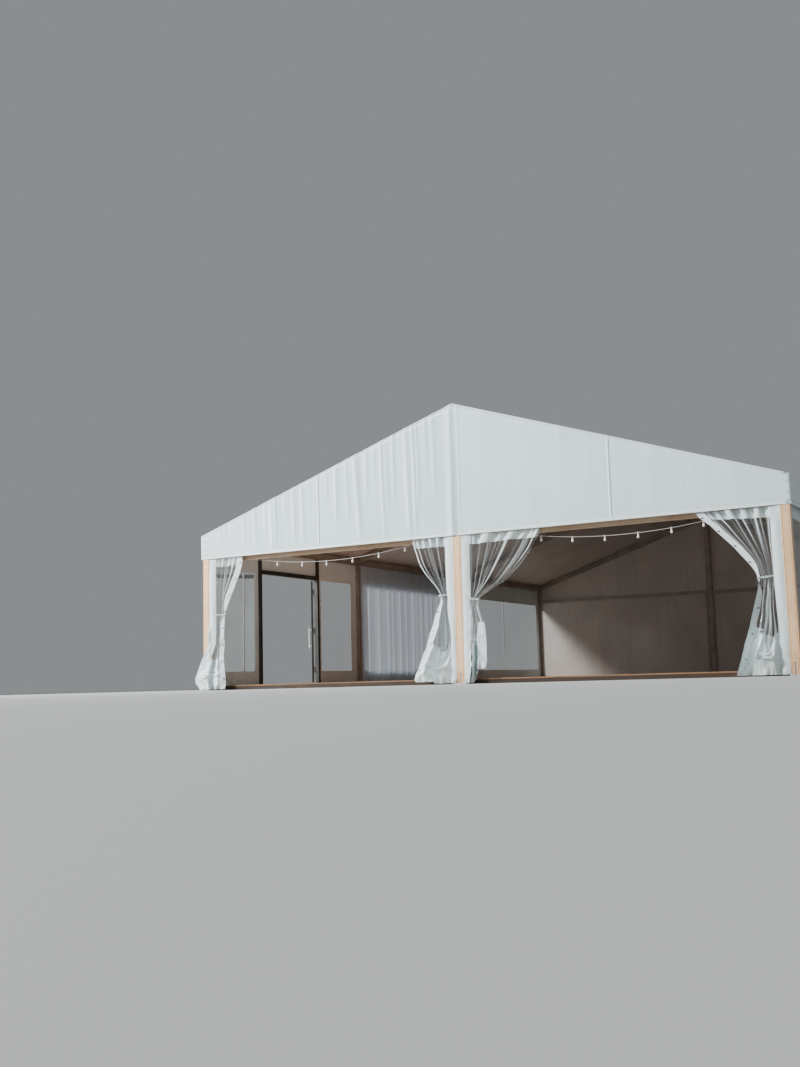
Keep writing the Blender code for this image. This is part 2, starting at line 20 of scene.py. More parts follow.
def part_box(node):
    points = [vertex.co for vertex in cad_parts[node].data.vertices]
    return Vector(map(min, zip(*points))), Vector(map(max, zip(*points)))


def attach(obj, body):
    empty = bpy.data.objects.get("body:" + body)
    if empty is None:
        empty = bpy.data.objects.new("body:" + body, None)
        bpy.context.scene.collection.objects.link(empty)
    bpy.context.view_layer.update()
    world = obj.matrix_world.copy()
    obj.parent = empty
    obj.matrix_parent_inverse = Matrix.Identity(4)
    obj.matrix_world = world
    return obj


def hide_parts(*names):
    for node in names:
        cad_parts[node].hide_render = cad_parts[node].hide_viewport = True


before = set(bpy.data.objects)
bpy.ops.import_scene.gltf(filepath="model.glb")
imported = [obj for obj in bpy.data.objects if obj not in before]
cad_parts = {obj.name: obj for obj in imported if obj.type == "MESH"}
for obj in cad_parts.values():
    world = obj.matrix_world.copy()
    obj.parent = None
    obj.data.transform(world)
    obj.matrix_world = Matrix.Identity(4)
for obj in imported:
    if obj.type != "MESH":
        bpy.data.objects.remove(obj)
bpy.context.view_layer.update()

# %% [markdown]
# ## The camera
#
# Straight edges of the real tent, whose sizes are known, fix where the eye was: low over
# the grass, in front and to the right, looking slightly up. A matrix made of the camera's
# own three axes sets place and turn in one step, which avoids Euler angles.

# %% Camera
EYE = Vector((7.939, -23.386, 0.03))
EYE_RIGHT = Vector((0.86889, 0.49431, -0.02613))
EYE_UP = Vector((0.08657, -0.09978, 0.99124))
EYE_AHEAD = Vector((-0.48737, 0.86354, 0.12949))
LONG_SIDE_MM = 36.0
FOCAL_LENGTH = 38.80

camera_data = bpy.data.cameras.new("eye")
camera_data.sensor_width = LONG_SIDE_MM
camera_data.lens = FOCAL_LENGTH
camera_data.clip_start = 0.01
camera_data.clip_end = 400.0
camera = bpy.data.objects.new("eye", camera_data)
turn = Matrix((EYE_RIGHT, EYE_UP, -EYE_AHEAD)).transposed().to_4x4()
camera.matrix_world = Matrix.Translation(EYE) @ turn
bpy.context.scene.collection.objects.link(camera)
bpy.context.scene.camera = camera
print("camera at", tuple(round(value, 2) for value in EYE))

# %% [markdown]
# ## Sizes and small helpers
#
# A few sizes are read off the solids, so the looks stay on them. The helpers turn a
# bmesh into a finished object at the origin, and turn a flat grid into a sheet: each grid
# point knows its place on the flat cloth, and a function says where that point hangs.

# %% Sizes
HALF = 5.0
EAVE = 2.70
SLOPE_ANGLE = math.radians(18.5)
SLOPE = math.tan(SLOPE_ANGLE)
BAY = 5.0
FRAME_PLACES = (-7.5, -2.5, 2.5, 7.5)
BAY_NUMBERS = (1, 2, 3)
SIDES = ((-1, "left"), (1, "right"))
GABLES = (("front", FRAME_PLACES[0], 1), ("rear", FRAME_PLACES[-1], -1))
HALF_BAR = 0.045
BAR_DEPTH = 0.13
BAR_WIDTH = 0.09
UPRIGHT_DEPTH = 0.135
BEAM_THICKNESS = 0.045
LEG_INSIDE = HALF - BAR_DEPTH
LEG_MIDDLE = HALF - BAR_DEPTH / 2
SHOE_TOP = 0.18
COVER_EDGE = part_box("front_gable_cover")[1].x
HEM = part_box("front_gable_cover")[0].z
WALL_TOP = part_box("right_wall_bay_1")[1].z
GRIP = 0.0003


def bay_span(number):
    """Where a bay's sheets are held: between the faces of its two frames."""
    start = FRAME_PLACES[number - 1]
    return start + HALF_BAR + GRIP, start + BAY - HALF_BAR - GRIP


def roof_top(x):
    """Height of the roof's outer surface above a point across the tent."""
    return EAVE + (HALF - abs(x)) * SLOPE


print("hem", round(HEM, 3), "cover edge", round(COVER_EDGE, 3), "wall top", round(WALL_TOP, 3))

# %% Turning a bmesh into a piece
SMOOTH_BELOW = math.radians(35)


def finish_piece(name, data, finishes, body="tent", slot=None, smooth=True, turned=None):
    """Write a bmesh to a named object at the origin, and let it ride on a body."""
    if turned is not None:
        bmesh.ops.transform(data, matrix=turned, verts=data.verts)
    mesh = bpy.data.meshes.new(name)
    data.to_mesh(mesh)
    data.free()
    for finish in finishes if isinstance(finishes, (list, tuple)) else [finishes]:
        mesh.materials.append(finish)
    if smooth:
        mesh.shade_smooth()
        mesh.set_sharp_from_angle(angle=SMOOTH_BELOW)
    piece = bpy.data.objects.new(name, mesh)
    bpy.context.scene.collection.objects.link(piece)
    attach(piece, body)
    return piece


def finish_solid(name, data, *rest, **extra):
    """Turn the faces of a closed shape outward, then finish it as a piece."""
    bmesh.ops.recalc_face_normals(data, faces=data.faces)
    return finish_piece(name, data, *rest, **extra)


def join_pieces(name, pieces):
    """Join finished pieces into the first one and name it."""
    with bpy.context.temp_override(active_object=pieces[0], selected_editable_objects=pieces):
        bpy.ops.object.join()
    pieces[0].name = name
    pieces[0].data.name = name
    return pieces[0]


def steps(breaks, longest):
    """Values through all the breaks, never further apart than the longest step."""
    values = [breaks[0]]
    for start, end in zip(breaks, breaks[1:]):
        count = max(1, math.ceil(abs(end - start) / longest - 1e-6))
        values += [start + (end - start) * number / count for number in range(1, count + 1)]
    return values


def new_verts(data, before):
    """The vertices that were added since a set of them was taken."""
    return [vert for vert in data.verts if vert not in before]


print("edges stay sharp above", round(math.degrees(SMOOTH_BELOW)), "degrees")

# %% Sheets from flat grids
def make_sheet(
    name, columns, rows, place, finishes, facing, region=None, thickness=0.0, lined=0, node=None, **extra
):
    """Hang a flat grid: place(u, v) gives the point of the cloth that u and v measure."""
    data = bmesh.new()
    bmesh.ops.create_grid(data, x_segments=len(columns) - 1, y_segments=len(rows) - 1, size=1.0)
    flat = data.loops.layers.uv.new("flat")
    spots = {}
    for vert in data.verts:
        column = columns[round((vert.co.x + 1) / 2 * (len(columns) - 1))]
        row = rows[round((vert.co.y + 1) / 2 * (len(rows) - 1))]
        spots[vert] = Vector((column, row))
    for face in data.faces:
        for loop in face.loops:
            loop[flat].uv = spots[loop.vert]
        if region:
            middle = sum((spots[vert] for vert in face.verts), Vector((0, 0))) / len(face.verts)
            face.material_index = region(middle.x, middle.y)
    for vert, (u, v) in spots.items():
        vert.co = place(u, v)
    data.normal_update()
    if sum(face.normal.dot(Vector(facing)) * face.calc_area() for face in data.faces) < 0:
        bmesh.ops.reverse_faces(data, faces=data.faces)
    piece = finish_piece(name, data, finishes, **extra)
    if thickness:
        shell = piece.modifiers.new("cloth_thickness", "SOLIDIFY")
        shell.thickness = thickness
        shell.offset = -1.0
        shell.material_offset = lined
    if node:
        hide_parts(node)
    return piece


def make_strips(wanted, place, finish, facing, thickness=0.001, **extra):
    """Narrow strips on a sheet: each has a name, columns, rows and a lift off the cloth."""
    return [
        make_sheet(name, columns, rows, partial(place, lift=lift), finish, facing, thickness=thickness, **extra)
        for name, columns, rows, lift in wanted
    ]


def soft_step(value, low, high):
    """Zero below low, one above high, and a smooth rise between them."""
    share = min(1.0, max(0.0, (value - low) / (high - low)))
    return share * share * (3 - 2 * share)


def hump(off, width):
    """A smooth hump: one in its middle, and near zero two widths away from it."""
    return math.exp(-((off / width) ** 2))


def blend_between(first, second, share):
    return first + (second - first) * share


def ripple(x, y, z=0.0):
    """Smooth seeded noise between about -1 and 1, the same on each run."""
    return noise.noise(Vector((x, y, z)))


print("grid lines of a 1 m cloth, 0.3 m apart at most:", steps([0.0, 1.0], 0.3))

# %% [markdown]
# ## Finishes
#
# A finish is a Principled shader fed by noise, measured in metres on the piece, that varies
# its colour, its roughness or its relief. A few helpers make and join the nodes.

# %% Node helpers for the finishes
def new_finish(name, roughness, metallic=0.0, **sockets):
    """A Principled material whose even values sit on the shader's own sockets."""
    finish = bpy.data.materials.new(name)
    finish.use_nodes = True
    shader = finish.node_tree.nodes["Principled BSDF"]
    shader.inputs["Roughness"].default_value = roughness
    shader.inputs["Metallic"].default_value = metallic
    for socket, value in sockets.items():
        shader.inputs[socket.replace("_", " ")].default_value = value
    return finish, finish.node_tree, shader


def texture(tree, scale, stretch=(1, 1, 1), source="Object", kind="Noise", **sockets):
    """A texture in metres on the piece, stretched by a Mapping node."""
    where = tree.nodes.new("ShaderNodeTexCoord")
    mapping = tree.nodes.new("ShaderNodeMapping")
    mapping.inputs["Scale"].default_value = stretch
    tree.links.new(where.outputs[source], mapping.inputs["Vector"])
    made = tree.nodes.new("ShaderNodeTex" + kind)
    made.inputs["Scale"].default_value = scale
    for socket, value in sockets.items():
        made.inputs[socket.replace("_", " ")].default_value = value
    tree.links.new(mapping.outputs["Vector"], made.inputs["Vector"])
    return made.outputs["Fac"] if "Fac" in made.outputs else made.outputs["Distance"]


def darker(colour, share):
    return tuple(channel * share for channel in colour)


def ramp(tree, factor, *stops):
    """A colour ramp through (position, colour) stops."""
    made = tree.nodes.new("ShaderNodeValToRGB")
    elements = made.color_ramp.elements
    while len(elements) < len(stops):
        elements.new(0.5)
    for element, (position, colour) in zip(elements, stops):
        element.position = position
        element.color = (*colour, 1.0) if len(colour) == 3 else colour
    tree.links.new(factor, made.inputs["Fac"])
    return made.outputs["Color"]


def mix(tree, factor, first, second, blend="MIX"):
    """Mix two colours; a factor may be a socket or a plain number."""
    made = tree.nodes.new("ShaderNodeMix")
    made.data_type = "RGBA"
    made.blend_type = blend
    for socket, value in ((made.inputs[0], factor), (made.inputs[6], first), (made.inputs[7], second)):
        if isinstance(value, bpy.types.NodeSocket):
            tree.links.new(value, socket)
        else:
            socket.default_value = value if isinstance(value, float) else (*value, 1.0)
    return made.outputs[2]


def span_to(tree, value, low, high, out_low, out_high):
    """Map a value's range to another one, clamped at its ends."""
    made = tree.nodes.new("ShaderNodeMapRange")
    for socket, number in zip(("From Min", "From Max", "To Min", "To Max"), (low, high, out_low, out_high)):
        made.inputs[socket].default_value = number
    tree.links.new(value, made.inputs["Value"])
    return made.outputs["Result"]


def lay_over(tree, under, over, pattern, low, high, most=1.0):
    """Lay one colour over another where a pattern runs high."""
    return mix(tree, span_to(tree, pattern, low, high, 0.0, most), under, over)


def calculate(tree, operation, first, second):
    """Combine two values with a Math node."""
    made = tree.nodes.new("ShaderNodeMath")
    made.operation = operation
    tree.links.new(first, made.inputs[0])
    tree.links.new(second, made.inputs[1])
    return made.outputs[0]


def add_bump(tree, shader, height, strength, distance):
    """One more layer of relief on top of those that the shader has."""
    made = tree.nodes.new("ShaderNodeBump")
    made.inputs["Strength"].default_value = strength
    made.inputs["Distance"].default_value = distance
    tree.links.new(height, made.inputs["Height"])
    if shader.inputs["Normal"].is_linked:
        tree.links.new(shader.inputs["Normal"].links[0].from_socket, made.inputs["Normal"])
    tree.links.new(made.outputs["Normal"], shader.inputs["Normal"])


def height_above_ground(tree):
    """The Z of the shaded point, in metres."""
    where = tree.nodes.new("ShaderNodeTexCoord")
    split = tree.nodes.new("ShaderNodeSeparateXYZ")
    tree.links.new(where.outputs["Object"], split.inputs["Vector"])
    return split.outputs["Z"]


def paint(tree, shader, value, socket="Base Color"):
    """Feed a colour or another value to one of the shader's sockets."""
    tree.links.new(value, shader.inputs[socket])


def cloudy_finish(name, roughness, scale, low, high, bump=None, detail=4.0, metallic=0.0, **sockets):
    """One noise that blends two colours, given as ramp stops, and may give the relief too."""
    finish, tree, shader = new_finish(name, roughness, metallic, **sockets)
    cloud = texture(tree, scale, Detail=detail)
    paint(tree, shader, ramp(tree, cloud, low, high))
    if bump:
        add_bump(tree, shader, cloud, *bump)
    return finish


print("dark grey at half its strength:", darker((0.2, 0.2, 0.2), 0.5))

# %% [markdown]
# ## The strings of lights
#
# Behind the front beam hang two strings of small lamps, each a white cord between two
# clips. A cord that hangs free between two points sags in a near parabola. We draw it as
# one open spline with a round bevel, the same route as the solid that it stands for.

# %% Cord finish
string_flex = cloudy_finish(
    "string_flex", 0.55, 60.0, (0.35, (0.80, 0.79, 0.75)), (0.7, (0.66, 0.64, 0.59)), (0.2, 0.001)
)
print("finish:", string_flex.name)

# %% Two sagging cords
CORD_DIAMETER = 0.006
CORD_Y = -7.3977
CORD_END_HEIGHT = 2.2615
SAG = 0.170
ROUTE_POINTS = 40
LAMP_PLACES = {
    "left": (-3.50, -2.99, -2.50, -1.99, -1.49, -1.00),
    "right": (1.35, 1.85, 2.35, 2.85, 3.34, 3.80),
}
SWAG_ENDS = {
    "left": (-0.8522 * LEG_INSIDE, -0.1438 * LEG_INSIDE),
    "right": (0.1746 * LEG_INSIDE, 0.8830 * LEG_INSIDE),
}


def cord_point(side, share):
    """A point of a swag, from its left clip at 0 to its right clip at 1."""
    start, end = SWAG_ENDS[side]
    return Vector((start + share * (end - start), CORD_Y, CORD_END_HEIGHT - 4 * SAG * share * (1 - share)))


def make_string_cord(side):
    curve = bpy.data.curves.new(f"string_cord_{side}", "CURVE")
    curve.dimensions = "3D"
    spline = curve.splines.new("POLY")
    spline.points.add(ROUTE_POINTS - 1)
    for number, point in enumerate(spline.points):
        point.co = (*cord_point(side, number / (ROUTE_POINTS - 1)), 1.0)
    curve.bevel_depth = CORD_DIAMETER / 2
    curve.bevel_resolution = 3
    curve.use_fill_caps = True
    curve.materials.append(string_flex)
    cord = bpy.data.objects.new(curve.name, curve)
    bpy.context.scene.collection.objects.link(cord)
    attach(cord, "tent")
    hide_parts(f"festoon_cord_{side}")
    return cord


string_cords = {side: make_string_cord(side) for side in SWAG_ENDS}
print("cords:", [cord.name for cord in string_cords.values()])

# %% [markdown]
# ## Lamps on the strings
#
# Each lamp is a short holder clamped on the cord with a round glass below it. A profile of
# a few points, spun round the upright axis, gives both as closed, smooth shapes, and the
# lamps of one string are kept together in one mesh for the holders and one for the glass.

# %% Lamp shapes
HOLDER_PROFILE = ((0.0, 0.010), (0.009, 0.010), (0.011, 0.004), (0.011, -0.022), (0.014, -0.030), (0.0, -0.030))
GLASS_PROFILE = (
    (0.0, -0.030), (0.012, -0.030), (0.0135, -0.038), (0.0180, -0.049),
    (0.0195, -0.060), (0.0170, -0.071), (0.0100, -0.079), (0.0, -0.082),
)
LAMP_FACETS = 14


def spin_profile(data, profile, centre):
    """Spin a radius and height profile round the upright line through a point."""
    before = set(data.verts)
    spots = [data.verts.new((radius, 0.0, height)) for radius, height in profile]
    line = [data.edges.new(pair) for pair in zip(spots, spots[1:])]
    bmesh.ops.spin(
        data, geom=spots + line, cent=(0, 0, 0), axis=(0, 0, 1), angle=math.tau, steps=LAMP_FACETS, use_merge=True
    )
    bmesh.ops.remove_doubles(data, verts=new_verts(data, before), dist=1e-5)
    bmesh.ops.translate(data, verts=new_verts(data, before), vec=centre)


def make_lamps(name, side, profile, finish):
    data = bmesh.new()
    start, end = SWAG_ENDS[side]
    for x in LAMP_PLACES[side]:
        spin_profile(data, profile, cord_point(side, (x - start) / (end - start)))
    return finish_solid(f"{name}_{side}", data, finish)


print("lamp profiles of", len(HOLDER_PROFILE), "and", len(GLASS_PROFILE), "points")

# %% Lamps on both cords
lamp_holder = cloudy_finish(
    "lamp_holder", 0.4, 90.0, (0.3, (0.74, 0.73, 0.70)), (0.75, (0.60, 0.58, 0.54)), (0.15, 0.001), detail=3.0
)
lamp_glass = cloudy_finish(
    "lamp_glass", 0.12, 70.0, (0.2, (0.93, 0.91, 0.85)), (0.8, (0.85, 0.82, 0.74)), detail=3.0, Coat_Weight=0.6
)
for side, cord in string_cords.items():
    holders = make_lamps("lamp_holders", side, HOLDER_PROFILE, lamp_holder)
    glasses = make_lamps("lamp_glasses", side, GLASS_PROFILE, lamp_glass)
    points = [cord_point(side, number / (ROUTE_POINTS - 1)) for number in range(ROUTE_POINTS)]
    length = sum((after - before).length for before, after in zip(points, points[1:]))
    print(cord.name, "is", round(length, 2), "m long with", len(LAMP_PLACES[side]), "lamps")

# %% [markdown]
# ## Coated sheet
#
# Marquee sheets are polyester scrim coated in white vinyl: a cool white with a soft
# sheen, a barely visible weave, faint grey streaks where rain has run, and splashes of
# soil near the ground. Each is a layer of noise on object coordinates, stretched where
# the mark is long.

# %% Sheet finishes
def make_sheet_finish(name, clean, shaded, roughness, splashed):
    """White coated sheet; splashed adds soil near the ground."""
    finish, tree, shader = new_finish(name, roughness, Specular_IOR_Level=0.45, Sheen_Weight=0.08)
    clouds = texture(tree, 0.9, Detail=5.0, Roughness=0.6)
    colour = ramp(tree, clouds, (0.30, shaded), (0.62, clean))
    streaks = texture(tree, 5.0, stretch=(1.6, 1.6, 0.09), Detail=4.0)
    colour = lay_over(tree, colour, darker(shaded, 0.86), streaks, 0.52, 0.80, 0.55)
    if splashed:
        low_down = span_to(tree, height_above_ground(tree), 0.02, 0.45, 0.62, 0.0)
        spots = texture(tree, 16.0, Detail=6.0, Roughness=0.7)
        soil = lay_over(tree, (0, 0, 0), (1, 1, 1), spots, 0.42, 0.72)
        amount = mix(tree, 1.0, soil, low_down, "MULTIPLY")
        colour = mix(tree, amount, colour, (0.33, 0.29, 0.22))
    paint(tree, shader, colour)
    paint(tree, shader, span_to(tree, clouds, 0.3, 0.7, roughness + 0.08, roughness - 0.06), "Roughness")
    add_bump(tree, shader, texture(tree, 2.4, stretch=(1, 1, 0.35), Detail=3.0), 0.35, 0.012)
    add_bump(tree, shader, texture(tree, 650.0, kind="Voronoi"), 0.08, 0.0004)
    return finish


roof_white = make_sheet_finish("roof_sheet_white", (0.77, 0.87, 0.88), (0.71, 0.81, 0.82), 0.42, False)
gable_white = make_sheet_finish("gable_sheet_white", (0.74, 0.88, 0.895), (0.68, 0.82, 0.835), 0.40, False)
wall_white = make_sheet_finish("wall_sheet_white", (0.77, 0.86, 0.87), (0.70, 0.79, 0.80), 0.42, True)
# The inner faces are a darker, warm-tinted white: painted shade with a warm cast, standing for the dim light inside
# the tent.
painted_shade_inner_face = make_sheet_finish("inner_face_shaded", (0.66, 0.59, 0.54), (0.56, 0.50, 0.46), 0.50, False)
seam_white = make_sheet_finish("welded_seam_white", (0.82, 0.90, 0.91), (0.76, 0.85, 0.86), 0.34, False)
print("sheet finishes ready")

# %% Clear window sheet
def make_clear_finish(name, clear_alpha, edge_alpha, roughness, milky=0.0):
    """Clear window vinyl: glossy, wavy and smeared, with milky bands along its folds."""
    finish, tree, shader = new_finish(name, roughness, Specular_IOR_Level=0.7, Coat_Weight=0.35)
    shader.inputs["Coat Roughness"].default_value = 0.06
    smears = texture(tree, 3.5, stretch=(1, 1, 0.3), Detail=6.0, Roughness=0.65)
    paint(tree, shader, ramp(tree, smears, (0.3, (0.66, 0.73, 0.76)), (0.75, (0.86, 0.91, 0.93))))
    # Where the film is seen edge-on its alpha rises towards edge_alpha, so its pale colour shows: painted glare,
    # standing for its glancing reflection.
    edge = tree.nodes.new("ShaderNodeLayerWeight")
    edge.inputs["Blend"].default_value = 0.35
    seen = span_to(tree, edge.outputs["Facing"], 0.40, 0.95, clear_alpha, edge_alpha)
    seen = calculate(tree, "MULTIPLY", seen, span_to(tree, smears, 0.25, 0.80, 0.6, 1.6))
    if milky:
        bands = texture(tree, 1.0, stretch=(10.0, 0.50, 1.0), source="UV", Detail=3.0, Distortion=0.3)
        seen = calculate(tree, "MAXIMUM", seen, span_to(tree, bands, 0.56, 0.70, clear_alpha, milky))
        # Thin, near-opaque pale lines at fixed places across the cloth: painted highlights along the fold crests.
        lines = texture(tree, 1.0, stretch=(5.5, 0.30, 1.0), source="UV", Detail=0.0, Distortion=0.3)
        rising, falling = span_to(tree, lines, 0.465, 0.492, 0.0, 1.0), span_to(tree, lines, 0.508, 0.535, 1.0, 0.0)
        seen = calculate(tree, "MAXIMUM", seen, calculate(tree, "MULTIPLY", rising, falling))
    paint(tree, shader, seen, "Alpha")
    add_bump(tree, shader, texture(tree, 3.0, stretch=(1, 1, 0.5), Detail=2.0), 0.5, 0.02)
    return finish


window_clear = make_clear_finish("clear_window_vinyl", 0.10, 0.55, 0.10)
curtain_clear = make_clear_finish("clear_curtain_vinyl", 0.05, 0.80, 0.10, 0.52)
print("clear finishes ready")

# %% [markdown]
# ## Aluminium profiles
#
# Legs, rafters, purlins and beams are extruded aluminium: a box with a groove near each
# corner that grips the beaded edges of the sheets. One quarter of the outline is drawn,
# mirrored twice, filled and extruded, as the real press does it.

# %% Metal finishes
def make_aluminium_finish(name, dark, middle, light):
    """Coated profile with a fine grain, scuffs and a cloud of oxide."""
    finish, tree, shader = new_finish(name, 0.42, 0.25)
    oxide = texture(tree, 2.2, Detail=6.0, Roughness=0.6)
    colour = ramp(tree, oxide, (0.30, dark), (0.50, middle), (0.72, light))
    scuffs = texture(tree, 24.0, stretch=(1, 1, 0.25), Detail=5.0)
    colour = lay_over(tree, colour, darker(dark, 0.7), scuffs, 0.56, 0.78, 0.5)
    paint(tree, shader, colour)
    paint(tree, shader, span_to(tree, scuffs, 0.3, 0.7, 0.34, 0.52), "Roughness")
    add_bump(tree, shader, texture(tree, 260.0, Detail=2.0), 0.05, 0.0004)
    return finish


def make_steel_finish():
    """Hot-dip zinc: pale spangles with soil near the ground and a breath of rust."""
    finish, tree, shader = new_finish("zinc_steel", 0.48, 0.75)
    spangle = texture(tree, 55.0, kind="Voronoi")
    colour = ramp(tree, spangle, (0.0, (0.46, 0.47, 0.47)), (0.6, (0.62, 0.63, 0.63)))
    rust = texture(tree, 30.0, Detail=6.0)
    colour = lay_over(tree, colour, (0.26, 0.13, 0.06), rust, 0.60, 0.74, 0.8)
    paint(tree, shader, colour)
    paint(tree, shader, span_to(tree, rust, 0.4, 0.7, 0.42, 0.75), "Roughness")
    add_bump(tree, shader, rust, 0.2, 0.001)
    return finish


# All the profiles are one aluminium in lit and shaded copies. The front frame's warm cream is painted warm light;
# beam_profile, the darker front beam under the hem, is painted shade; the grey-brown of the inner and rear frames
# and the purlins is painted shade. The oxide cloud and scuffs in each are the metal's own.
painted_warm_light_aluminium = make_aluminium_finish("profile_with_painted_warm_light", (0.78, 0.47, 0.26), (0.94, 0.60, 0.34), (0.97, 0.69, 0.42))
painted_shade_beam_metal = make_aluminium_finish("beam_profile", (0.47, 0.31, 0.21), (0.56, 0.40, 0.27), (0.58, 0.46, 0.33))
painted_shade_aluminium = make_aluminium_finish("profile_with_painted_shade", (0.26, 0.22, 0.19), (0.36, 0.31, 0.27), (0.45, 0.39, 0.34))
zinc_steel = make_steel_finish()
print("metal finishes ready")

# %% Profile outline
def profile_face(data, depth, width):
    """The filled outline of a grooved profile: one quarter, mirrored across both axes."""
    half_depth, half_width = depth / 2, width / 2
    groove_in, groove_out = half_depth - 0.022, half_depth - 0.016
    groove_floor = half_width - 0.008
    chamfer = 0.003
    dip = 0.003
    quarter = (
        (0.0, half_width),
        (groove_in, half_width),
        (groove_in, groove_floor),
        (groove_out, groove_floor),
        (groove_out, half_width),
        (half_depth - chamfer, half_width),
        (half_depth, half_width - chamfer),
        (half_depth, half_width * 0.42),
        (half_depth - dip, half_width * 0.36),
        (half_depth - dip, 0.0),
    )
    spots = [data.verts.new((a, b, 0.0)) for a, b in quarter]
    for pair in zip(spots, spots[1:]):
        data.edges.new(pair)
    for axis in ("X", "Y"):
        bmesh.ops.mirror(data, geom=data.verts[:] + data.edges[:], axis=axis, merge_dist=1e-6)
    bmesh.ops.remove_doubles(data, verts=data.verts, dist=1e-6)
    return bmesh.ops.contextual_create(data, geom=data.edges[:])["faces"]


def cut_and_close(data, cuts):
    """Slice off what lies past each plane and fill the cut."""
    for point, outward in cuts:
        everything = data.verts[:] + data.edges[:] + data.faces[:]
        cut = bmesh.ops.bisect_plane(data, geom=everything, plane_co=point, plane_no=outward, clear_outer=True)
        rim = [item for item in cut["geom_cut"] if isinstance(item, bmesh.types.BMEdge)]
        bmesh.ops.contextual_create(data, geom=rim)


# A bar takes the profile with painted shade unless another finish is given.
def make_bar(
    name, node, start, end, depth_axis, depth=BAR_DEPTH, width=BAR_WIDTH, cuts=(), finish=painted_shade_aluminium
):
    """Press a profile from one point to another; depth_axis points along its depth."""
    data = bmesh.new()
    grown = bmesh.ops.extrude_face_region(data, geom=profile_face(data, depth, width))
    top = [item for item in grown["geom"] if isinstance(item, bmesh.types.BMVert)]
    line = Vector(end) - Vector(start)
    bmesh.ops.translate(data, verts=top, vec=(0, 0, line.length))
    along = line.normalized()
    across = along.cross(Vector(depth_axis)).normalized()
    turn_to = Matrix((Vector(depth_axis), across, along)).transposed().to_4x4()
    bmesh.ops.transform(data, matrix=Matrix.Translation(start) @ turn_to, verts=data.verts)
    cut_and_close(data, cuts)
    piece = finish_solid(name, data, finish, slot="aluminium")
    if node:
        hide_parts(node)
    return piece


print("a leg is", BAR_DEPTH, "by", BAR_WIDTH, "m, an upright", UPRIGHT_DEPTH, "by", BAR_WIDTH)

# %% Legs and rafters of the four portal frames
RAFTER_DROP = BAR_DEPTH / math.cos(SLOPE_ANGLE)
END_SPARE = 0.2


def frame_finish(number):
    """The front gable frame takes the profile with painted warm light; the other frames take the profile with
    painted shade.
    """
    return painted_warm_light_aluminium if number == 1 else painted_shade_aluminium


def make_portal(number, y):
    finish = frame_finish(number)
    for side, word in SIDES:
        node = f"frame_{number}_{word}"
        outward_up = Vector((side * math.sin(SLOPE_ANGLE), 0, math.cos(SLOPE_ANGLE)))
        below_rafter = (side * HALF, y, roof_top(HALF) - RAFTER_DROP - GRIP)
        foot, head = (side * LEG_MIDDLE, y, SHOE_TOP), (side * LEG_MIDDLE, y, EAVE + END_SPARE)
        cuts = [(below_rafter, outward_up)]
        make_bar(f"leg_profile_{number}_{word}", f"{node}_leg", foot, head, (side, 0, 0), cuts=cuts, finish=finish)
        drop = RAFTER_DROP / 2
        low = (side * (HALF + END_SPARE), y, EAVE - END_SPARE * SLOPE - drop)
        high = (-side * END_SPARE, y, EAVE + (HALF + END_SPARE) * SLOPE - drop)
        cuts = [((side * HALF, y, 0), (side, 0, 0)), ((side * GRIP / 2, y, 0), (-side, 0, 0))]
        name = f"rafter_profile_{number}_{word}"
        make_bar(name, f"{node}_rafter", low, high, outward_up, cuts=cuts, finish=finish)


for number, y in enumerate(FRAME_PLACES, 1):
    make_portal(number, y)
print("portal frames:", len(FRAME_PLACES))

# %% Purlins, gable beams and middle uprights
def make_purlins():
    for number in BAY_NUMBERS:
        for place in ("ridge", "left_eave", "right_eave"):
            node = f"{place}_purlin_bay_{number}"
            low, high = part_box(node)
            middle = (low + high) / 2
            start, end = (middle.x, low.y, middle.z), (middle.x, high.y, middle.z)
            make_bar(node.replace("_bay_", "_profile_"), node, start, end, (0, 0, 1), high.z - low.z, high.x - low.x)


def make_gable_bars(word, y, inward):
    # The front upright takes painted warm light, the front beam painted shade, and the rear beam and upright painted
    # shade.
    upright_finish, beam_finish = painted_shade_aluminium, painted_shade_aluminium
    if word == "front":
        upright_finish, beam_finish = painted_warm_light_aluminium, painted_shade_beam_metal
    node = f"{word}_gable_beam"
    low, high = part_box(node)
    beam_y = y + inward * (HALF_BAR + GRIP + BEAM_THICKNESS / 2)
    middle, height = (low + high) / 2, high.z - low.z
    start, end = (low.x, beam_y, middle.z), (high.x, beam_y, middle.z)
    make_bar(f"{word}_beam_profile", node, start, end, (0, 0, 1), height, BEAM_THICKNESS, finish=beam_finish)
    node = f"{word}_centre_upright"
    start, end = (0, y, SHOE_TOP), (0, y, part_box(node)[1].z)
    make_bar(f"{word}_upright_profile", node, start, end, (1, 0, 0), UPRIGHT_DEPTH, finish=upright_finish)


make_purlins()
for gable in GABLES:
    make_gable_bars(*gable)
print("purlins, beams and uprights are in place")

# %% [markdown]
# ## Feet, bolts and stakes
#
# Each leg ends in a slot that stands over the steel tongue of a base plate, pinned down by
# four stakes whose heads show. Bolts with washers hold the corners. These small parts are
# gathered into one mesh for each place, from a few bmesh primitives with broken edges.

# %% Blocks, round bars and bolts
PLATE_TOP = 0.010
SLOT = 0.024


def break_edges(data, edges, bevel):
    bmesh.ops.bevel(data, geom=edges, offset=bevel, affect="EDGES", segments=2, profile=0.5, material=-1)


def add_block(data, low, high, bevel=0.0):
    """A block between two corners, with its edges broken where a bevel is given."""
    low, high = Vector(low), Vector(high)
    scale = Matrix.Diagonal((*(high - low), 1.0))
    made = bmesh.ops.create_cube(data, size=1.0, matrix=Matrix.Translation((low + high) / 2) @ scale)["verts"]
    if bevel:
        break_edges(data, list({edge for vert in made for edge in vert.link_edges}), bevel)


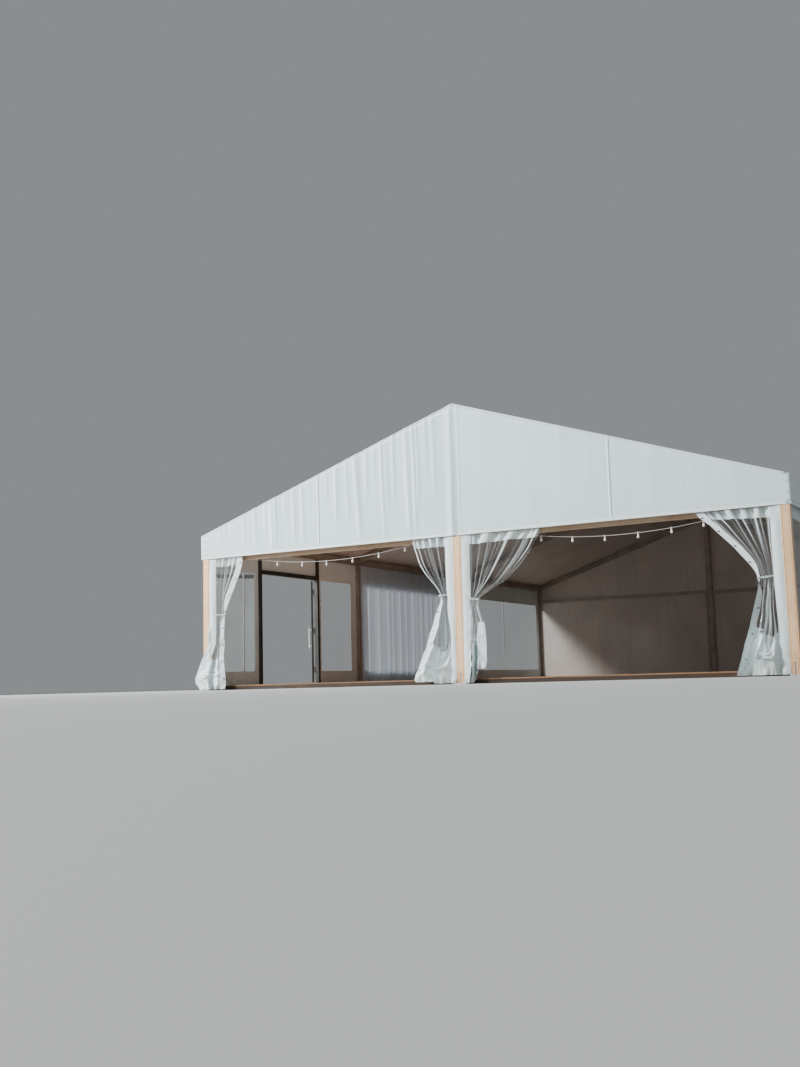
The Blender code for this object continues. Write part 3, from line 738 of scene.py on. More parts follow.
def add_round(data, start, end, radius, sides=16, end_radius=None):
    """A round bar or cone from one point to another."""
    start, end = Vector(start), Vector(end)
    place = Matrix.Translation((start + end) / 2) @ (end - start).to_track_quat("Z", "Y").to_matrix().to_4x4()
    far = radius if end_radius is None else end_radius
    bmesh.ops.create_cone(
        data, cap_ends=True, segments=sides, radius1=radius, radius2=far, depth=(end - start).length, matrix=place
    )


def add_bolt(data, place, outward, size=0.012):
    """A washer, a hexagon head with its crown turned down, and the thread's end."""
    place, outward = Vector(place), Vector(outward)
    add_round(data, place - outward * 0.001, place + outward * 0.003, size * 1.35, 18)
    add_round(data, place + outward * 0.003, place + outward * size * 0.72, size, 6)
    add_round(data, place + outward * size * 0.72, place + outward * size * 0.9, size * 0.92, 6, size * 0.6)


print("foot plates are", PLATE_TOP, "m thick, with slots of", SLOT, "m over them")

# %% Feet
def make_post_end(name, x, y, finish):
    """The slotted end of a post: two narrow profiles either side of the foot's tongue."""
    wide, ends = (BAR_DEPTH - SLOT) / 2, []
    for side in (-1, 1):
        middle = x + side * (SLOT / 2 + (BAR_DEPTH - SLOT) / 4)
        start, end = (middle, y, PLATE_TOP + 0.001), (middle, y, SHOE_TOP + 0.001)
        ends.append(make_bar(f"{name}_{side + 1}", None, start, end, (1, 0, 0), wide, finish=finish))
    return join_pieces(name, ends)


def make_foot(name, x, y, x_span, y_span, stakes):
    """Base plate, the tongue that the post stands over, and stake heads."""
    data = bmesh.new()
    add_block(data, (x - x_span[0], y - y_span[0], 0.0), (x + x_span[1], y + y_span[1], PLATE_TOP), 0.0015)
    add_block(data, (x - 0.008, y - 0.036, PLATE_TOP), (x + 0.008, y + 0.036, SHOE_TOP + 0.012), 0.003)
    for stake_x, stake_y in stakes:
        add_round(data, (stake_x, stake_y, PLATE_TOP), (stake_x, stake_y, 0.024), 0.0125, 14)
        add_round(data, (stake_x, stake_y, 0.024), (stake_x, stake_y, 0.031), 0.0125, 14, 0.008)
    return finish_solid(name, data, zinc_steel)


def make_feet():
    for number, y in enumerate(FRAME_PLACES, 1):
        for side, word in SIDES:
            x = side * LEG_MIDDLE
            x_span = (0.095, 0.065) if side < 0 else (0.065, 0.095)
            stakes = [(x + side * step, y + aside) for step in (-0.048, 0.075) for aside in (-0.068, 0.068)]
            make_foot(f"foot_{number}_{word}", x, y, x_span, (0.09, 0.09), stakes)
            # Leg ends take their frame's profile: painted warm light at the front frame, painted shade elsewhere.
            make_post_end(f"leg_end_{number}_{word}", x, y, frame_finish(number))
    for word, y, inward in GABLES:
        y_span = (0.095, 0.045) if inward > 0 else (0.045, 0.095)
        stakes = [(side * 0.088, y - inward * step) for side in (-1, 1) for step in (0.0, 0.070)]
        make_foot(f"foot_upright_{word}", 0.0, y, (0.11, 0.11), y_span, stakes)
        # The upright's end takes painted warm light at the front and painted shade at the rear.
        make_post_end(f"upright_end_{word}", 0.0, y, painted_warm_light_aluminium if inward > 0 else painted_shade_aluminium)


make_feet()
print("feet ready")

# %% Bolts at the frame corners
FOOT_BOLT_HEIGHTS = (0.235, 0.285)
KNEE_BOLT_HEIGHTS = (2.20, 2.36)
RAFTER_BOLT_REACHES = (HALF - 0.22, HALF - 0.40, 0.10, 0.26)


def make_frame_bolts(number, y):
    """Bolts on the open faces of a portal frame; gable frames have them inside only."""
    data = bmesh.new()
    heights = FOOT_BOLT_HEIGHTS + (KNEE_BOLT_HEIGHTS if number in (2, 3) else ())
    closed_face = {1: -1, 4: 1}.get(number)
    for face_side in (-1, 1):
        if face_side == closed_face:
            continue
        face_y = y + face_side * HALF_BAR
        for side in (-1, 1):
            spots = [(side * LEG_MIDDLE, height) for height in heights]
            for reach in RAFTER_BOLT_REACHES:
                spots.append((side * reach, roof_top(side * reach) - RAFTER_DROP / 2))
            for x, z in spots:
                add_bolt(data, (x, face_y, z), (0, face_side, 0))
    return finish_piece(f"frame_bolts_{number}", data, zinc_steel)


def make_front_bolts():
    """Small pins on the faces of the posts that the open gable shows."""
    data = bmesh.new()
    spots = [(x, height, 0.009) for x in (-LEG_MIDDLE, LEG_MIDDLE) for height in (0.235, 0.285, 2.20)]
    spots += [(x, height, 0.008) for x, height in ((-0.030, 0.235), (0.030, 0.235), (-0.035, 1.34), (0.0, 2.18))]
    for x, height, size in spots:
        add_bolt(data, (x, FRAME_PLACES[0] - HALF_BAR, height), (0, -1, 0), size)
    return finish_piece("front_post_pins", data, zinc_steel)


for number, y in enumerate(FRAME_PLACES, 1):
    make_frame_bolts(number, y)
make_front_bolts()
print("bolts ready")

# %% [markdown]
# ## Roof covers
#
# One sheet to a bay runs from hem to hem over the ridge. It is drawn tight between the
# rafters, so it sags only a couple of centimetres, with faint waves, and turns down at
# the eave into a short valance. We measure v along that path, and a table of the path's
# corners, rounded at the eave, says where each v lies.

# %% Roof path
SHEET_DROP = 0.003
EAVE_RADIUS = 0.035
ROOF_THICKNESS = 0.0015


def roof_path():
    """Points (x, z) from the left hem over the ridge to the right hem."""
    edge = COVER_EDGE - SHEET_DROP
    rounded = []
    for step in range(5):
        turn_by = (math.pi / 2 - SLOPE_ANGLE) * step / 4
        centre_x = edge - EAVE_RADIUS
        centre_z = roof_top(centre_x) - SHEET_DROP - EAVE_RADIUS / math.cos(SLOPE_ANGLE)
        rounded.append((centre_x + EAVE_RADIUS * math.cos(turn_by), centre_z + EAVE_RADIUS * math.sin(turn_by)))
    right = [(edge, HEM)] + rounded + [(0.0, roof_top(0) - SHEET_DROP)]
    return [(-x, z) for x, z in right[:-1]] + right[::-1]


ROOF_POINTS = [Vector(point) for point in roof_path()]
ROOF_RUN = [0.0]
for before, after in zip(ROOF_POINTS, ROOF_POINTS[1:]):
    ROOF_RUN.append(ROOF_RUN[-1] + (after - before).length)


def on_roof_path(v):
    """The point and outward direction of the roof's path at a run v."""
    place = max(index for index in range(len(ROOF_RUN) - 1) if ROOF_RUN[index] <= v + 1e-9)
    start, end = ROOF_POINTS[place], ROOF_POINTS[place + 1]
    share = (v - ROOF_RUN[place]) / (ROOF_RUN[place + 1] - ROOF_RUN[place])
    along = (end - start).normalized()
    return start.lerp(end, min(1.0, share)), Vector((-along.y, along.x))


print("roof path is", round(ROOF_RUN[-1], 2), "m long")

# %% Roof sheets
SEAM_GAP = 0.0015
PURLIN_BAND = 0.10
ROOF_SAG = 0.022
ROOF_STRIP_LIFT = 0.0022


def make_roof_sheet(number, start):
    """One bay's cover. Over the roof it lies between the rafters, below the eave it meets the next."""
    full_low = start + (SEAM_GAP if number > 1 else -HALF_BAR)
    full_high = start + BAY + (-SEAM_GAP if number < 3 else HALF_BAR)
    held_low, held_high = bay_span(number)

    def place(u, v, lift=0.0):
        point, outward = on_roof_path(v)
        reach = abs(point.x)
        over_roof = soft_step(HALF + 0.028 - reach, 0.0, 0.012)
        low = blend_between(full_low, held_low, over_roof)
        high = blend_between(full_high, held_high, over_roof)
        y = low + u / BAY * (high - low)
        between = math.sin(math.pi * u / BAY) ** 0.7 if 0 < u < BAY else 0.0
        clear = soft_step(reach, 0.05, 0.9) * soft_step(HALF - PURLIN_BAND - reach, 0.03, 0.6)
        out = between * clear * (0.007 * ripple(y * 1.1, point.x * 1.9, number) - ROOF_SAG)
        hanging = soft_step(reach, COVER_EDGE - 0.006, COVER_EDGE - 0.004) * soft_step(EAVE - point.y, 0.08, 0.40)
        out += hanging * (0.007 * math.sin(y * 7.1 + number) + 0.006 * ripple(y * 3.3, number)) + lift
        return Vector((point.x + outward.x * out, y, point.y + outward.y * out))

    rows, columns = steps(ROOF_RUN, 0.16), steps([0.0, 0.05, 0.12, 4.88, 4.95, BAY], 0.14)
    # The underside takes the inner finish with painted shade.
    end, finishes = ROOF_RUN[-1], [roof_white, painted_shade_inner_face]
    sheet = make_sheet(
        f"roof_sheet_{number}", columns, rows, place, finishes, (0, 0, 1), thickness=ROOF_THICKNESS, lined=1,
        node=f"roof_cover_bay_{number}", slot="white_sheet",
    )
    bands = []
    for label, band_columns, band_rows, facing in (
        ("mid_seam", [BAY / 2 - 0.02, BAY / 2 + 0.02], rows, (0, 0, 1)),
        ("edge_a", [0.004, 0.05], rows, (0, 0, 1)),
        ("edge_b", [4.95, 4.996], rows, (0, 0, 1)),
        ("hem_left", columns, [0.0015, 0.03, 0.055], (-1, 0, 0)),
        ("hem_right", columns, [end - 0.055, end - 0.03, end - 0.0015], (1, 0, 0)),
    ):
        wanted = [(f"roof_{label}_{number}", band_columns, band_rows, ROOF_STRIP_LIFT)]
        bands += make_strips(wanted, place, seam_white, facing, slot="white_sheet")


for number, start in enumerate(FRAME_PLACES[:-1], 1):
    make_roof_sheet(number, start)
print("roof sheets:", len(BAY_NUMBERS))

# %% [markdown]
# ## Gable covers
#
# The closed triangle over the open gable is one laced sheet with two upright seams. It
# hangs nearly flat on the right, while the left half shows upright puckers under the
# rafter. In the middle a fold stands proud where the sheet is drawn over the upright, and
# short creases fan out from its foot and from the foot of the left seam.
#
# A pucker's row holds its place at the top edge, its slant on the way down, its width, how
# far it stands out, and the share of the height that it reaches down. A crease's row holds
# its start, which way and how far it runs, how steeply, its height above the hem, and how
# far it stands out.

# %% Gable relief
GABLE_LIP = 0.009
PUCKERS = (
    (-4.62, 0.02, 0.014, 0.003, 0.7),
    (-4.38, 0.02, 0.013, 0.003, 0.6),
    (-4.10, 0.02, 0.015, 0.004, 0.8),
    (-3.88, 0.03, 0.015, 0.006, 0.9),
    (-3.65, 0.02, 0.013, 0.005, 0.7),
    (-3.51, 0.02, 0.022, 0.010, 1.0),
    (-3.43, 0.02, 0.013, 0.007, 0.9),
    (-3.24, 0.01, 0.012, 0.003, 0.5),
    (-3.07, 0.03, 0.015, 0.007, 0.9),
    (-2.89, 0.04, 0.014, 0.007, 0.9),
    (-2.72, 0.02, 0.011, 0.004, 0.5),
    (-2.38, 0.02, 0.012, 0.004, 0.5),
    (-2.21, 0.03, 0.015, 0.007, 0.8),
    (-1.99, 0.03, 0.013, 0.006, 0.8),
    (-1.83, 0.09, 0.020, 0.010, 1.0),
    (-1.61, 0.02, 0.012, 0.005, 0.6),
    (-1.45, 0.02, 0.012, 0.003, 0.5),
    (-1.32, 0.04, 0.016, 0.009, 1.0),
    (-1.23, 0.03, 0.012, 0.005, 0.8),
    (-1.10, 0.02, 0.011, 0.006, 0.7),
    (-0.86, 0.04, 0.020, 0.011, 1.0),
    (-0.73, 0.03, 0.013, 0.009, 1.0),
    (-0.66, 0.02, 0.011, 0.006, 0.8),
    (-0.50, 0.02, 0.012, 0.003, 0.5),
    (-0.37, 0.02, 0.015, 0.006, 0.7),
    (0.46, 0.00, 0.040, 0.003, 1.0),
    (1.16, 0.00, 0.050, 0.002, 1.0),
    (1.80, 0.00, 0.040, 0.003, 1.0),
    (3.10, 0.00, 0.050, 0.003, 1.0),
    (3.70, 0.00, 0.045, 0.002, 1.0),
    (4.30, 0.00, 0.045, 0.003, 1.0),
)
GABLE_SEAMS = ((-2.55, 0.0012), (2.51, 0.0006))
RIDGE_X = -0.054
CREASES = (
    (-0.02, -1, 0.32, 0.20, 0.040, 0.008),
    (-0.02, -1, 0.20, 0.55, 0.050, 0.008),
    (-0.04, -1, 0.13, 1.40, 0.060, 0.007),
    (0.03, 1, 0.14, 1.10, 0.050, 0.007),
    (0.03, 1, 0.30, 0.40, 0.040, 0.007),
    (0.03, 1, 0.40, 0.16, 0.032, 0.006),
    (-2.74, 1, 0.20, 0.90, 0.050, 0.008),
    (-2.58, 1, 0.10, 1.60, 0.090, 0.006),
)


def pucker_relief(x, z, share):
    """The upright puckers: steep on one side, easy on the other."""
    out = 0.0
    for top_x, slant, width, proud, reach in PUCKERS:
        if abs(x - top_x) > 0.3:
            continue
        off = x - top_x - slant * (1.0 - share) - 0.012 * ripple(top_x * 7.0, z * 1.3)
        near = hump(off, width * (1.7 if off < 0 else 3.2))
        out += 1.4 * proud * near * soft_step(share, 0.95 - reach, 1.25 - reach)
    return out


def crease_relief(x, z):
    """Short creases that fan out from where the sheet is pulled."""
    out = 0.0
    for start_x, side, reach, steep, above, proud in CREASES:
        along = side * (x - start_x)
        if 0 < along < reach:
            line = HEM + above + along * steep
            fade = (1 - along / reach) * soft_step(along, 0.0, 0.04)
            out += proud * fade * hump(z - line, 0.010)
    return out


def ridge_relief(x, z, share):
    """The soft fold over the upright, steeper on its right side, and the distance from it."""
    off = x - RIDGE_X - 0.008 * ripple(z * 1.7, 4.0)
    reach = 0.115 if off < 0 else 0.095
    fold = (0.027 - 0.011 * share) * max(0.0, 1.0 - abs(off) / reach) ** 1.3
    return off, fold + 0.004 * hump(off - 0.130, 0.022)


def gable_relief(x, z, lively):
    """How far the sheet stands out from its flat face."""
    share = (z - HEM) / max(0.2, roof_top(x) - HEM)
    left = soft_step(-x, 0.0, 0.8)
    out = pucker_relief(x, z, share)
    out += 0.004 * (1 + ripple(x * 1.1, z * 0.45, 3.0)) * soft_step(share, 0.0, 0.2)
    fine = 0.006 * (1 + ripple(x * 8.0, z * 0.6, 5.0))
    out += fine * (0.10 + 0.90 * left) * soft_step(share, 0.05, 0.9)
    off, fold = ridge_relief(x, z, share)
    beside = 1.0 - hump(off, 0.15)
    return lively * max(out * beside + fold + crease_relief(x, z), 0.0)


print("relief of", len(PUCKERS), "puckers and", len(CREASES), "creases")

# %% Gable sheets
GABLE_CLEARANCE = 0.0015


def make_gable_sheet(word, face_y, outward, lively, columns):
    """A whole gable cover with its seams, hem and top edge."""

    def place(u, v, lift=0.0):
        z = HEM + v * (roof_top(u) + GABLE_LIP - HEM)
        return Vector((u, face_y + outward * (GABLE_CLEARANCE + gable_relief(u, z, lively) + lift), z))

    def from_hem(u, v, lift):
        return place(u, v / (roof_top(u) + GABLE_LIP - HEM), lift)

    def from_top(u, v, lift):
        return place(u, 1.0 - v / (roof_top(u) + GABLE_LIP - HEM), lift)

    rows = steps([0.0, 0.14], 0.008) + steps([0.14, 1.0], 0.045)[1:]
    name, facing = f"{word}_gable", (0, outward, 0)
    # The inner face takes the finish with painted shade.
    sheet = make_sheet(
        f"{name}_sheet", columns, rows, place, [gable_white, painted_shade_inner_face], facing, thickness=0.0012, lined=1,
        node=f"{name}_cover", slot="white_sheet",
    )
    seams = [
        (f"{name}_seam_{number}", [x - 0.022, x, x + 0.022], rows, lift)
        for number, (x, lift) in enumerate(GABLE_SEAMS, 1)
    ]
    hem = [(f"{name}_hem_band", columns[::2], [0.001, 0.020, 0.042], 0.0016)]
    top = [(f"{name}_top_edge", columns[::2], [0.0, 0.012, 0.024], 0.0018)]
    bands = make_strips(seams, place, gable_white, facing)
    bands += make_strips(hem, from_hem, seam_white, facing) + make_strips(top, from_top, seam_white, facing)
    data = bmesh.new()
    rope_y, rope_z = face_y + outward * 0.006, HEM + 0.006
    add_round(data, (-COVER_EDGE, rope_y, rope_z), (COVER_EDGE, rope_y, rope_z), 0.0055, 12)
    bands.append(finish_piece(f"{name}_hem_rope", data, seam_white))


def make_lacing(word, face_y, outward):
    """Eyelets near each end of a gable cover, with a short strap round its edge."""
    data = bmesh.new()
    for side, _ in SIDES:
        x = side * (COVER_EDGE - 0.055)
        for z in (HEM + 0.06, HEM + 0.16, HEM + 0.32):
            spot = Vector((x, face_y + outward * (gable_relief(x, z, 1.0) + 0.0035), z))
            add_round(data, spot, spot + Vector((0, outward * 0.0025, 0)), 0.012, 16, 0.010)
            low = spot + Vector((min(0.0, side * 0.052), min(0.0, outward * 0.003), -0.004))
            high = spot + Vector((max(0.0, side * 0.052), max(0.0, outward * 0.003), 0.004))
            add_block(data, low, high, 0.0008)
    finish_solid(f"{word}_gable_lacing", data, zinc_steel)


close_columns = steps([-COVER_EDGE, 0.25], 0.0115) + steps([0.25, COVER_EDGE], 0.036)[1:]
wide_columns = steps([-COVER_EDGE, 0.0, COVER_EDGE], 0.045)
front_face, rear_face = FRAME_PLACES[0] - HALF_BAR - GRIP, FRAME_PLACES[-1] + HALF_BAR + GRIP
make_gable_sheet("front", front_face, -1, 1.0, close_columns)
make_gable_sheet("rear", rear_face, 1, 0.55, wide_columns)
make_lacing("front", front_face, -1)
make_lacing("rear", rear_face, 1)
print("gable covers ready, with", len(PUCKERS), "puckers")

# %% [markdown]
# ## Window walls
#
# A side wall is a white sheet between two legs with clear windows welded in, so that a
# white border, a skirt and a narrow strip between two windows remain. Grid lines fall on
# every window edge, and each face takes the white or the clear finish by where it lies.

# %% Wall sheets
WINDOW_TOP = 2.15
SKIRT_TOP = 0.325
WALL_X = 4.95
WALL_BASE = 0.016
WALL_STEP = 0.11


def held_between(value, low, high):
    """Nothing at the two held edges of a sheet, and one halfway between them."""
    along = (value - low) / (high - low)
    return math.sin(math.pi * along) ** 0.5 if 0 < along < 1 else 0.0


def make_wall(name, node, side, y_low, y_high, windows, z_low=WALL_BASE, inward_limit=0.010):
    """One wall; windows are pairs of Y between which it is clear."""
    z_high = WALL_TOP - 0.002

    def place(u, v, lift=0.0):
        free = held_between(u, y_low, y_high) * soft_step(z_high - v, 0.0, 0.5)
        out = free * (0.010 * ripple(u * 1.7, v * 0.8, side) + 0.005 * ripple(u * 5.0, v * 0.6, side + 4))
        return Vector((side * (WALL_X + max(-inward_limit, min(0.02, out)) + lift), u, v))

    def is_clear(u, v):
        return int(SKIRT_TOP < v < WINDOW_TOP and any(low < u < high for low, high in windows))

    window_edges = [edge for pair in windows for edge in pair]
    columns = steps([y_low, *window_edges, y_high], WALL_STEP)
    rows = steps([z_low, z_high] if z_low > SKIRT_TOP else [z_low, SKIRT_TOP, WINDOW_TOP, z_high], WALL_STEP)
    sheet = make_sheet(
        name, columns, rows, place, [wall_white, window_clear], (side, 0, 0), region=is_clear, node=node,
        slot="white_sheet",
    )
    welds, down = [], steps([SKIRT_TOP, WINDOW_TOP], WALL_STEP)
    for number, (low, high) in enumerate(windows, 1):
        across = steps([low - 0.012, high + 0.012], WALL_STEP)
        for label, weld_columns, weld_rows in (
            ("head", across, [WINDOW_TOP - 0.004, WINDOW_TOP + 0.018]),
            ("sill", across, [SKIRT_TOP - 0.018, SKIRT_TOP + 0.004]),
            ("side_a", [low - 0.016, low + 0.004], down),
            ("side_b", [high - 0.004, high + 0.016], down),
        ):
            welds.append((f"{name}_weld_{number}_{label}", weld_columns, weld_rows, 0.0015))
    zips = [
        (f"{name}_zip", [seam_low - 0.004, seam_high + 0.004], down, -0.0025)
        for (_, seam_low), (seam_high, _) in zip(windows, windows[1:])
    ]
    bands = make_strips(welds, place, seam_white, (side, 0, 0))
    bands += make_strips(zips, place, seam_white, (-side, 0, 0), 0.0015)
    [join_pieces(f"{name}_welds", bands)] if bands else []


print("windows are", round(WINDOW_TOP - SKIRT_TOP, 3), "m high")

# %% All the walls
DOOR_LOW, DOOR_HIGH = -6.0, -4.0
DOOR_POST = 0.0705
DOOR_HEAD = 2.2205


def make_all_walls():
    low, high = bay_span(1)
    windows = [(-7.30, -6.465), (-6.435, -6.12)]
    make_wall("left_wall_1_front", "left_wall_bay_1_front", -1, low, DOOR_LOW - GRIP, windows)
    make_wall("left_wall_1_back", "left_wall_bay_1_back", -1, DOOR_HIGH + GRIP, high, [(-3.90, -2.76)])
    over = (DOOR_LOW + DOOR_POST, DOOR_HIGH - DOOR_POST)
    make_wall("left_wall_1_over_door", "left_wall_over_door", -1, *over, [], z_low=DOOR_HEAD)
    for side, word in SIDES:
        for number in BAY_NUMBERS[1:] if side < 0 else BAY_NUMBERS:
            low, high = bay_span(number)
            middle = (low + high) / 2
            windows = [(low + 0.20, middle - 0.015), (middle + 0.015, high - 0.20)]
            node = f"{word}_wall_bay_{number}"
            make_wall(f"{word}_wall_{number}", node, side, low, high, windows, inward_limit=0.006)


make_all_walls()
print("window walls ready")

# %% Rear walls
REAR_STRIP_LIFT = 0.0022


def make_rear_wall(word):
    """A plain white wall under the rear beam, with two welded seams."""
    node = f"rear_wall_{word}"
    low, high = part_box(node)
    width = high.x - low.x

    def place(u, v, lift=0.0):
        free = held_between(u, low.x, high.x) * soft_step(high.z - v, 0.0, 0.4)
        out = free * (0.012 * ripple(u * 1.3, v * 0.5, 8.0) + 0.006 * ripple(u * 6.0, v * 0.5, 9.0))
        return Vector((u, (low.y + high.y) / 2 + out + lift, v))

    columns, rows = steps([low.x, high.x], 0.09), steps([low.z + 0.001, high.z - 0.002], 0.12)
    # The inner face takes the finish with painted shade.
    sheet = make_sheet(
        f"rear_sheet_{word}", columns, rows, place, [wall_white, painted_shade_inner_face], (0, 1, 0), thickness=0.0012, lined=1,
        node=node, slot="white_sheet",
    )
    wanted = [
        (f"rear_seam_{word}_{number}", [x - 0.02, x + 0.02], rows, REAR_STRIP_LIFT)
        for number, x in enumerate((low.x + width / 3, low.x + 2 * width / 3), 1)
    ]
    wanted.append((f"rear_hem_{word}", columns, [low.z + 0.002, low.z + 0.06], REAR_STRIP_LIFT))
    make_strips(wanted, place, seam_white, (0, 1, 0))


for _, word in SIDES:
    make_rear_wall(word)
print("rear walls ready")

# %% [markdown]
# ## Tied-back curtains
#
# Each curtain is clear vinyl with a white header, skirt and edge strips, though one free
# edge is clear. It is gathered on its rail and drawn in to a tie at chest height. The flat
# cloth is much wider than the space it hangs in, so it stands in folds. We walk along the
# cloth: its two strips stay nearly flat, and the part between swings from front to back,
# more often than it moves sideways. Below the tie it lies in flat tucks, and cloth that is
# longer than its drop rolls over just above the foot.

# %% Folds of gathered cloth
CURTAIN_BACK = FRAME_PLACES[0] + HALF_BAR
POST_FACE = FRAME_PLACES[0] - HALF_BAR
CURTAIN_TOP = HEM - 0.003
CURTAIN_FOOT = 0.017
CURTAIN_DROP = CURTAIN_TOP - CURTAIN_FOOT
CLEAR_WIDTH = 4.8019
LEG_EDGE = LEG_INSIDE - GRIP
UPRIGHT_EDGE = UPRIGHT_DEPTH / 2 + GRIP
TUCK_RISE = 0.17


def fold_heading(kind, lean, way):
    """Which way the cloth runs, part of the way along one fold."""
    if kind == "pillow":
        return lean * math.cos(math.pi * way)
    if kind == "tuck":
        behind = soft_step(way, 0.58, 0.68) * (1.0 - soft_step(way, 0.90, 1.0))
        return TUCK_RISE - (lean + TUCK_RISE) * behind
    return lean * math.sin(math.tau * way)


class Folds:
    """A line of gathered cloth seen from above: its heading swings, its length stays."""

    def __init__(self, count, swing, seed, samples=360, kind="wave"):
        draw = random.Random(seed)
        shares = [draw.uniform(0.55, 1.45) for _ in range(count)]
        leans = [swing * draw.uniform(0.82, 1.12) for _ in range(count)]
        x, y, self.line = 0.0, 0.0, [(0.0, 0.0)]
        for number, (share, lean) in enumerate(zip(shares, leans), 1):
            parts = max(10, round(samples * share / sum(shares)))
            reach = 0.56 if kind == "tuck" and number == count else 1.0
            for part in range(parts):
                way = reach * (part + 0.5) / parts
                heading = fold_heading(kind, lean, way)
                x, y = x + math.cos(heading), y + math.sin(heading)
                self.line.append((x, y))
        back, front = min(spot[1] for spot in self.line), max(spot[1] for spot in self.line)
        self.line = [(spot[0] / x, (spot[1] - back) / (front - back)) for spot in self.line]

    def at(self, share):
        """Across and out, from 0 to 1, at a share of the cloth's length."""
        place = min(max(share, 0.0), 1.0) * (len(self.line) - 1)
        index = min(int(place), len(self.line) - 2)
        (x, y), (next_x, next_y) = self.line[index], self.line[index + 1]
        return x + (next_x - x) * (place - index), y + (next_y - y) * (place - index)


print("folds of seven pleats:", len(Folds(7, 1.3, 1).line), "points")

# %% Curtain shape
FIXED_STRIP = 0.15
FREE_STRIP = 0.12
STRIP_LEAN = 0.012
STRIP_FACE = POST_FACE + 0.005
CLOTH_LENGTH = CURTAIN_DROP + 0.12
ROLL_CLOTH = 0.16
ROLL_SWING = 1.9
ROLL_TAKES_UP = 0.115
ROLL_ABOVE_HEM = 0.21
ROLL_PARTS = 14
ROLL_SHOWN = 0.6
CREASE_DEPTH = 0.060
CREASE_ASIDE = 0.016
FOOT_FLARE = 0.06
THREAD_STEPS = 12
TIE_SHARE = 0.59
DEPTH_FILLED = 0.88


def rolled(share, swing):
    """How far cloth comes forward and down, per metre of it, in a roll seen from the side."""
    forward = down = 0.0
    for part in range(ROLL_PARTS):
        heading = swing * math.sin(math.tau * share * (part + 0.5) / ROLL_PARTS)
        forward += math.sin(heading) * share / ROLL_PARTS
        down += math.cos(heading) * share / ROLL_PARTS
    return forward, down


def crease(x, y, z):
    """Noise with sharp lines where it turns, like creased vinyl."""
    return 0.30 - abs(ripple(x, y, z))


